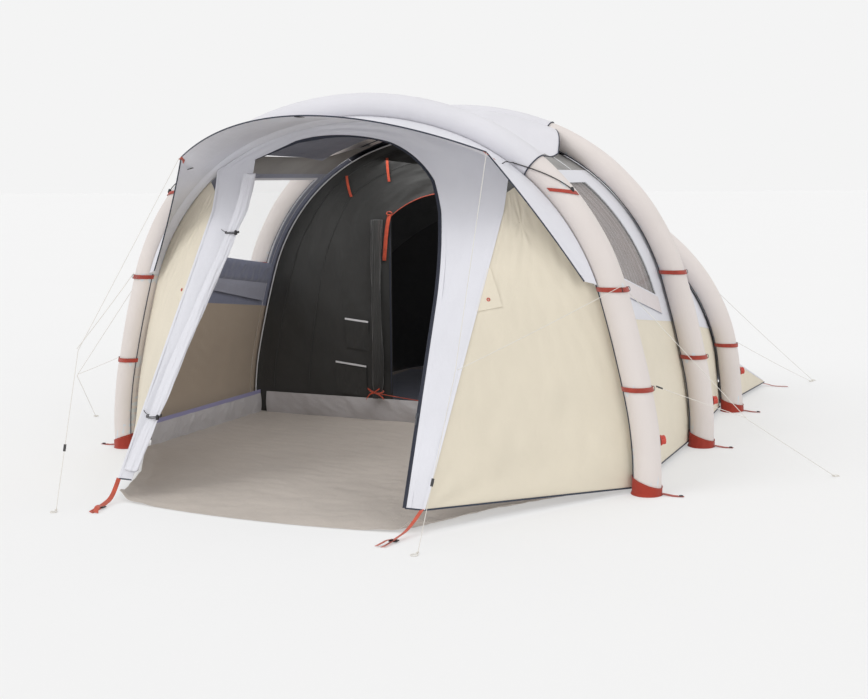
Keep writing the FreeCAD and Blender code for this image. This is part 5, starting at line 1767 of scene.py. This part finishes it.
def ground():
    ys = np.concatenate([np.linspace(-1.105, 1.395, 150), np.linspace(1.43, 3.650, 36)])
    half = np.interp(ys, [p[0] for p in OUTLINE], [p[1] for p in OUTLINE])
    share = np.linspace(-1, 1, 121)
    x = half[:, None] * share[None, :]
    bow = 0.080 * (1 - share ** 2)[None, :] * smooth((-0.80 - ys) / 0.30)[:, None]
    y = ys[:, None] - bow + FRONT_Y
    z = np.full_like(x, 0.0040)
    grid = np.stack([x, y, z], -1)
    waves_a = folds(101, 0.0024, 0.16, 0.7, 0.15, 12)
    waves_b = folds(102, 0.0014, 0.06, 0.3, 0.5, 12)
    waves_c = folds(103, 0.0014, 0.10, 0.5, -0.5, 12)

    def rise(u, v):
        total = waves_a(u, v) + waves_b(u, v) + waves_c(u, v)
        total = 0.0034 + np.clip(total, -0.0026, 0.010)
        edge = np.abs(share)[None, :]
        front = smooth((-0.98 - ys) / 0.125)[:, None]
        curl = 0.020 * front * smooth((edge - 0.70) / 0.3) * (1 + 0.5 * np.sin(23 * edge + 3))
        rim = smooth((edge - 0.93) / 0.07) * smooth((0.04 - ys) / 0.2)[:, None] * 0.022
        fade = smooth((ys + 1.105) / 0.05)[:, None]
        return total * (0.25 + 0.75 * fade) + curl + rim
    sheet("groundsheet_floor", grid, "ground", (0, 0, 1), rise, node="groundsheet",
          thick=0.0016, held="laid")
    for side in SIDES:
        ys = np.linspace(0.040, 1.288, 110)
        zs = np.linspace(0.004, 0.143, 18)
        grid = np.array([[[1.4395 - 0.002, yy + FRONT_Y, zz] for yy in ys] for zz in zs])
        t = (zs / 0.143)[:, None]
        lean = 0.006 * np.sin(math.pi * t) * (1 + np.sin(ys * 31)[None, :] * 0.5)
        grid[..., 0] -= lean
        ripple = combine(folds(105, 0.0030, 0.10, 0.2, 0.7), folds(106, 0.0016, 0.05, 0.2, -0.8),
                         edge=0.02)
        sheet(f"tray_wall_{side}", sided(grid, side), "curb", (-SIDES[side], 0, 0), ripple,
              held="stretched", thick=0.0014)
        line = sided(np.array([[1.4375, yy + FRONT_Y, 0.133] for yy in ys]), side)
        top = sided(np.array([[1.4375, yy + FRONT_Y, 0.158] for yy in ys]), side)
        tape(f"tray_top_band_{side}", line, top, (-SIDES[side], 0, 0), "liner", 0.0024)
    xs = np.linspace(-1.385, 1.385, 150)
    zs = np.linspace(0.004, 0.150, 18)
    grid = np.array([[[xx, 1.2835 + FRONT_Y, zz] for xx in xs] for zz in zs])
    bulge = 0.007 * np.sin(math.pi * zs / 0.15)[:, None] * (1 + 0.6 * np.sin(xs * 17)[None, :])
    grid[..., 1] -= bulge
    ripple = combine(folds(108, 0.0030, 0.09, 0.25, 1.0), folds(109, 0.0016, 0.045, 0.2, 0.6),
                     edge=0.02)
    sheet("living_room_rear_curb", grid, "curb", (0, -1, 0), ripple,
          held="stretched", thick=0.0014)


ground()


# ---- bedroom -----------------------------------------------------------------------

INNER_INSET = 0.100
INNER_Y = 1.295
DOOR = {"left": -0.441, "right": 0.374, "sill": 0.150, "head": 1.480, "shoulder": 1.330}


def inner_door_edge():
    left, right, sill = DOOR["left"], DOOR["right"], DOOR["sill"]
    middle = (left + right) / 2
    return [stretch([(middle, sill), (right, sill)], 12),
            stretch([(right, sill), (right, DOOR["shoulder"])], 34),
            arc_through((right, DOOR["shoulder"]), (middle, DOOR["head"]),
                        (left, DOOR["shoulder"]), 40),
            stretch([(left, DOOR["shoulder"]), (left, sill)], 34),
            stretch([(left, sill), (middle, sill)], 12)]


def inner_front():
    inner = np.concatenate([p[:-1] for p in inner_door_edge()] + [inner_door_edge()[-1][-1:]])
    low = 0.012
    u_low = FRONT.height_u(low + 0.01, INNER_INSET)
    foot_x = FRONT.at(u_low, INNER_INSET)[0]
    arch = np.array([FRONT.at(u, INNER_INSET)[[0, 2]] for u in np.linspace(u_low, -u_low, 400)])
    run = stretch(arch, 400)

    def share(a, b, count):
        line = run[int(399 * a):int(399 * b) + 1]
        return stretch(line, count)

    outer_parts = [stretch([(-0.0335, low), (foot_x, low)], 12), share(0, 0.31, 34),
                   share(0.31, 0.69, 40), share(0.69, 1.0, 34),
                   stretch([(-foot_x, low), (-0.0335, low)], 12)]
    outer = np.concatenate([p[:-1] for p in outer_parts] + [outer_parts[-1][-1:]])
    s = np.linspace(0, 1, 40)[None, :, None]
    flat = inner[:, None] * (1 - s) + outer[:, None] * s
    grid = np.stack([flat[..., 0], np.full(flat.shape[:2], INNER_Y + FRONT_Y), flat[..., 1]], -1)
    ripple = combine(folds(111, 0.0060, 0.22, 0.9, 1.2), folds(112, 0.0030, 0.09, 0.5, 1.4),
                     folds(113, 0.0016, 0.045, 0.3, 1.0), fan((1.6, 0.0), 0.006, 9, 0.3, 1),
                     edge=0.05)
    sheet("bedroom_front_wall", grid, "black", (0, -1, 0), ripple, node="inner_front",
          held="hung", thick=0.0010)
    edge = np.array([[x, INNER_Y + FRONT_Y - 0.003, z] for x, z in stretch(arch, 160)])
    tube("bedroom_edge_piping", edge, 0.0042, "piping_white", sides=6)
    made = []
    for share_at, r in ((0.86, 0.0022), (0.60, 0.0020)):
        line = (inner * (1 - share_at) + outer * share_at)[14:-14]
        path = np.stack([line[:, 0], np.full(len(line), INNER_Y + FRONT_Y - 0.004), line[:, 1]], 1)
        made.append(tube("seam", path, r, "black", sides=6, finish=False))
    joined("bedroom_wall_seams", made)


def inner_shell():
    u_main = FRONT.height_u(0.025, INNER_INSET)
    u_low = REAR.height_u(0.025, INNER_INSET)
    share_front = (INNER_Y + 0.007 - BAY) / (REAR_Y - MIDDLE_Y)
    grid = []
    for s in np.linspace(-1, 1, 121):
        a = MIDDLE.at(u_main * s, INNER_INSET)
        b = REAR.at(u_low * s, INNER_INSET)
        start = a + (b - a) * share_front
        grid.append([start * (1 - t) + b * t for t in np.linspace(0, 1, 40)])
    ripple = combine(folds(115, 0.006, 0.22, 0.9, 0.2), folds(116, 0.0028, 0.09, 0.4, 0.3), edge=0.05)
    sheet("bedroom_canopy", np.array(grid), "black", (0, 0, 1), ripple, node="inner_canopy",
          held="hung", thick=0.0010)
    grid = []
    for s in np.linspace(-1, 1, 121):
        a = REAR.at(u_low * s, INNER_INSET, 0.004)
        b = place(1.290 * s, 3.420, 0.025 + 0.120 * (1 - s * s))
        grid.append([a * (1 - t) + b * t for t in np.linspace(0, 1, 34)])
    ripple = combine(folds(117, 0.006, 0.22, 0.9, 0.3), folds(118, 0.0028, 0.09, 0.4, 0.5), edge=0.05)
    sheet("bedroom_rear_wall", np.array(grid), "black", (0, 0.5, 1), ripple, node="inner_rear",
          held="hung", thick=0.0010)
    xs = np.linspace(-1.288, 1.288, 70)
    ys = np.linspace(INNER_Y + 0.003, 3.418, 56)
    grid = np.array([[[x, y + FRONT_Y, 0.0135] for y in ys] for x in xs])
    ripple = combine(folds(119, 0.002, 0.15, 0.5, 0.3), edge=0.05)
    sheet("bedroom_floor", grid, "lilac_and_inside_shade", (0, 0, 1), ripple, node="inner_floor",
          held="laid", thick=0.0012)


def inner_details():
    zs = np.linspace(0.160, 1.310, 110)
    around = 44
    theta = np.arange(around) * TAU / around
    rows = []
    for k, z in enumerate(zs):
        x = DOOR["left"] - 0.074 + 0.008 * math.sin(4.2 * z) - 0.02 * (1.310 - z)
        y = INNER_Y + FRONT_Y - 0.046 + 0.003 * math.sin(7 * z)
        r = 0.031 + 0.004 * math.sin(6 * z) - 0.010 * math.exp(-((z - 0.20) / 0.03) ** 2)
        ring = r + 0.0045 * np.sin(3 * theta + 4 * z) + 0.0022 * np.sin(8 * theta - 13 * z)
        rows.append(np.stack([x + ring * np.cos(theta), y + ring * np.sin(theta),
                              np.full(around, z)], 1))
    verts = np.array(rows).reshape(-1, 3)
    piece = new_object("bedroom_rolled_door", verts, ring_faces(len(zs), around, capped=True), "black",
                       np.stack([np.repeat(zs, around), np.tile(theta * 0.03, len(zs))], 1))
    fix_normals(piece)
    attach(piece, "tent")
    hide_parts("inner_door_roll")
    y = INNER_Y + FRONT_Y
    made = []
    edge = np.concatenate(inner_door_edge()[2:3])[14:]
    path = np.stack([edge[:, 0], np.full(len(edge), y - 0.005), edge[:, 1]], 1)
    made.append(tube("edge", path, 0.0048, "orange", sides=8, flat=0.6, finish=False))
    strap = bezier([(-0.446, y - 0.006, 1.345), (-0.456, y - 0.014, 1.30), (-0.468, y - 0.020, 1.20),
                    (-0.478, y - 0.018, 1.10), (-0.486, y - 0.012, 1.05)], 10)
    wide = np.array([0.013, 0.0, 0.0])
    made.append(tape("strap", strap - wide, strap + wide, (0, -1, 0), "orange", 0.0016,
                     crown=0.002, finish=False))
    turn = np.linspace(0, TAU, 30, endpoint=False)
    knot = np.array([-0.446, y - 0.012, 1.352])
    made.append(tube("bow_top", [knot + np.array([0.018 * math.cos(t), -0.006 * math.sin(2 * t),
                                                  0.010 * math.sin(t)]) for t in turn],
                     0.004, "orange", closed=True, finish=False))
    low = np.array([-0.534, y - 0.088, 0.200])
    made.append(tube("bow", [low + np.array([0.044 * math.cos(t), 0.004 + 0.040 * math.sin(t),
                                             0.004 * math.sin(2 * t)]) + np.array([0, 0.038, 0])
                             for t in turn], 0.0042, "orange", closed=True, finish=False))
    for dx, dz, swing in ((0.075, -0.035, 0.02), (-0.050, -0.045, -0.01), (0.045, 0.030, 0.015),
                          (-0.040, 0.028, -0.01)):
        tail = bezier([low, low + np.array([dx * 0.5, -0.016, dz * 0.2 + 0.01]),
                       low + np.array([dx, -0.012, dz])], 9)
        made.append(tape("tail", tail - np.array([0, 0, 0.005]), tail + np.array([0, 0, 0.005]),
                         (0, -1, 0), "orange", 0.0014, finish=False))
    line = bezier([low + np.array([0.01, 0, 0]), low + np.array([0.15, -0.004, -0.020]),
                   low + np.array([0.42, 0.02, -0.045])], 10)
    made.append(tube("string", line, 0.0022, "orange", sides=6, finish=False))
    joined("bedroom_door_trim", made)
    made = []
    for x0, x1, z in ((-0.778, -0.608, 0.665), (-0.851, -0.627, 0.378)):
        xs = np.linspace(x0, x1, 20)
        a = np.stack([xs, np.full(20, y - 0.010), z - 0.006 - 0.10 * (xs - x0) ** 1], 1)
        b = a + np.array([0, 0, 0.012])
        made.append(tape("edge", a, b, (0, -1, 0), "piping_white", 0.0022, finish=False))
    joined("bedroom_pocket_edges", made)
    for name, (x0, x1, z, low_z) in {"upper": (-0.778, -0.608, 0.655, 0.475),
                                     "lower": (-0.851, -0.627, 0.365, 0.175)}.items():
        xs, zs2 = np.linspace(x0, x1, 24), np.linspace(low_z, z, 20)
        grid = np.array([[[x, y - 0.0045 - 0.007 * ((zz - low_z) / (z - low_z)) ** 2,
                           zz - 0.10 * (x - x0)] for zz in zs2] for x in xs])
        ripple = combine(folds(125, 0.003, 0.07, 0.2, 0.2), edge=0.02)
        sheet(f"bedroom_pocket_{name}", grid, "black", (0, -1, 0), ripple,
              held="hung", thick=0.0010)
    tops = {"left": ((-0.746, 1.590), 0.135), "right": ((-0.456, 1.700), 0.150)}
    for side, ((x, z), long) in tops.items():
        yy = INNER_Y + FRONT_Y - 0.0125
        s = np.linspace(0, 1, 26)
        swing = 0.030 if side == "left" else 0.012
        line = np.stack([x + swing * s ** 1.4, yy - 0.003 * np.sin(math.pi * s), z - long * s * 0.99], 1)
        across = np.array([0.0088, 0, 0.001])
        piece_a = tape("tape", line - across, line + across, (0, -1, 0), "orange", 0.0020, crown=0.001,
                       finish=False)
        button = line[-3] + np.array([0, -0.004, 0])
        ring = [button + np.array([0.0045 * math.cos(t), 0, 0.0045 * math.sin(t)])
                for t in np.linspace(0, TAU, 16, endpoint=False)]
        piece_b = tube("button", ring, 0.0018, "red_plastic", closed=True, finish=False)
        piece = joined(f"bedroom_hang_tape_{side}", [piece_a, piece_b], f"hang_tape_{side}")
        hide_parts(f"hang_tape_{side}")
    xs = [DOOR["left"] - 0.013, DOOR["left"] - 0.003]
    zs = np.linspace(0.19, 1.30, 90)
    a = np.stack([np.full(90, xs[0]), np.full(90, y - 0.0030), zs], 1)
    b = np.stack([np.full(90, xs[1]), np.full(90, y - 0.0030), zs], 1)
    tape("bedroom_zip_tape", a, b, (0, -1, 0), "zip", 0.0016, crown=0.0012)


inner_front()
inner_shell()
inner_details()


# ---- carried-over parts --------------------------------------------------------------

CARRIED = {
    "air_tubes": "bladder", "corner_buckle_left": "black_plastic",
    "corner_buckle_right": "black_plastic", "door_slider": "metal", "inner_slider": "metal",
    "front_valve_cap": "red_plastic", "middle_valve_cap": "red_plastic",
    "rear_valve_cap": "red_plastic", "valve_bases": "red_plastic",
    "runner_front_left": "black_plastic", "runner_front_right": "black_plastic",
    "runner_side_left": "black_plastic", "runner_side_right": "black_plastic",
}


def paint_nodes():
    for node, mat in CARRIED.items():
        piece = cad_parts[node]
        for k in range(len(piece.material_slots)):
            piece.material_slots[k].material = M[mat]


paint_nodes()


# ---- stage ---------------------------------------------------------------------------

def lamp(kind, name, at, aim, power, size):
    """A soft lamp; a sun's size is the angle that it covers, a disk's is its width."""
    data = bpy.data.lights.new(name, kind)
    data.energy = power
    if kind == "SUN":
        data.angle = size
    else:
        data.shape = "DISK"
        data.size = size
    made = bpy.data.objects.new(name, data)
    bpy.context.collection.objects.link(made)
    made.location = at
    made.rotation_mode = "QUATERNION"
    made.rotation_quaternion = (Vector(aim) - Vector(at)).to_track_quat("-Z", "Y")
    made.visible_camera = False


FLOOR_GLOW = 0.390


def stage():
    n = Nodes("studio_floor")
    body = n.coords("Object", (1, 1, 1))
    tone = n.ramp(n.noise(body, 0.6, 3.0), [(0.0, [0.445] * 3), (1.0, [0.455] * 3)])
    n.join(tone, n.shader.inputs["Base Color"])
    n.shader.inputs["Emission Color"].default_value = (1, 1, 1, 1)
    n.shader.inputs["Emission Strength"].default_value = FLOOR_GLOW
    n.shader.inputs["Roughness"].default_value = 0.9
    n.shader.inputs["Specular IOR Level"].default_value = 0.1
    M["studio_floor"] = n.mat
    size = 150.0
    floor = new_object("studio_floor", [(-size, -size, 0), (size, -size, 0), (size, size, 0),
                                        (-size, size, 0)], [(0, 1, 2, 3)], "studio_floor")
    floor.location.z = -0.0005
    world = bpy.data.worlds.new("studio")
    world.use_nodes = True
    background = world.node_tree.nodes["Background"]
    background.inputs["Color"].default_value = (0.905, 0.905, 0.905, 1)
    background.inputs["Strength"].default_value = 1.0
    bpy.context.scene.world = world
    lamp("SUN", "key", (-5.5, -7.5, 8.5), (0, 0, 0.6), 0.84, 0.6)
    lamp("SUN", "fill", (8.5, -4.5, 4.5), (0.5, 0, 0.8), 0.48, 0.6)
    lamp("AREA", "inside", (0.1, -0.35, 1.60), (-0.1, -0.30, 0.0), 16.0, 1.5)
    view = bpy.context.scene.view_settings
    view.view_transform = "Standard"
    view.look = "None"


stage()
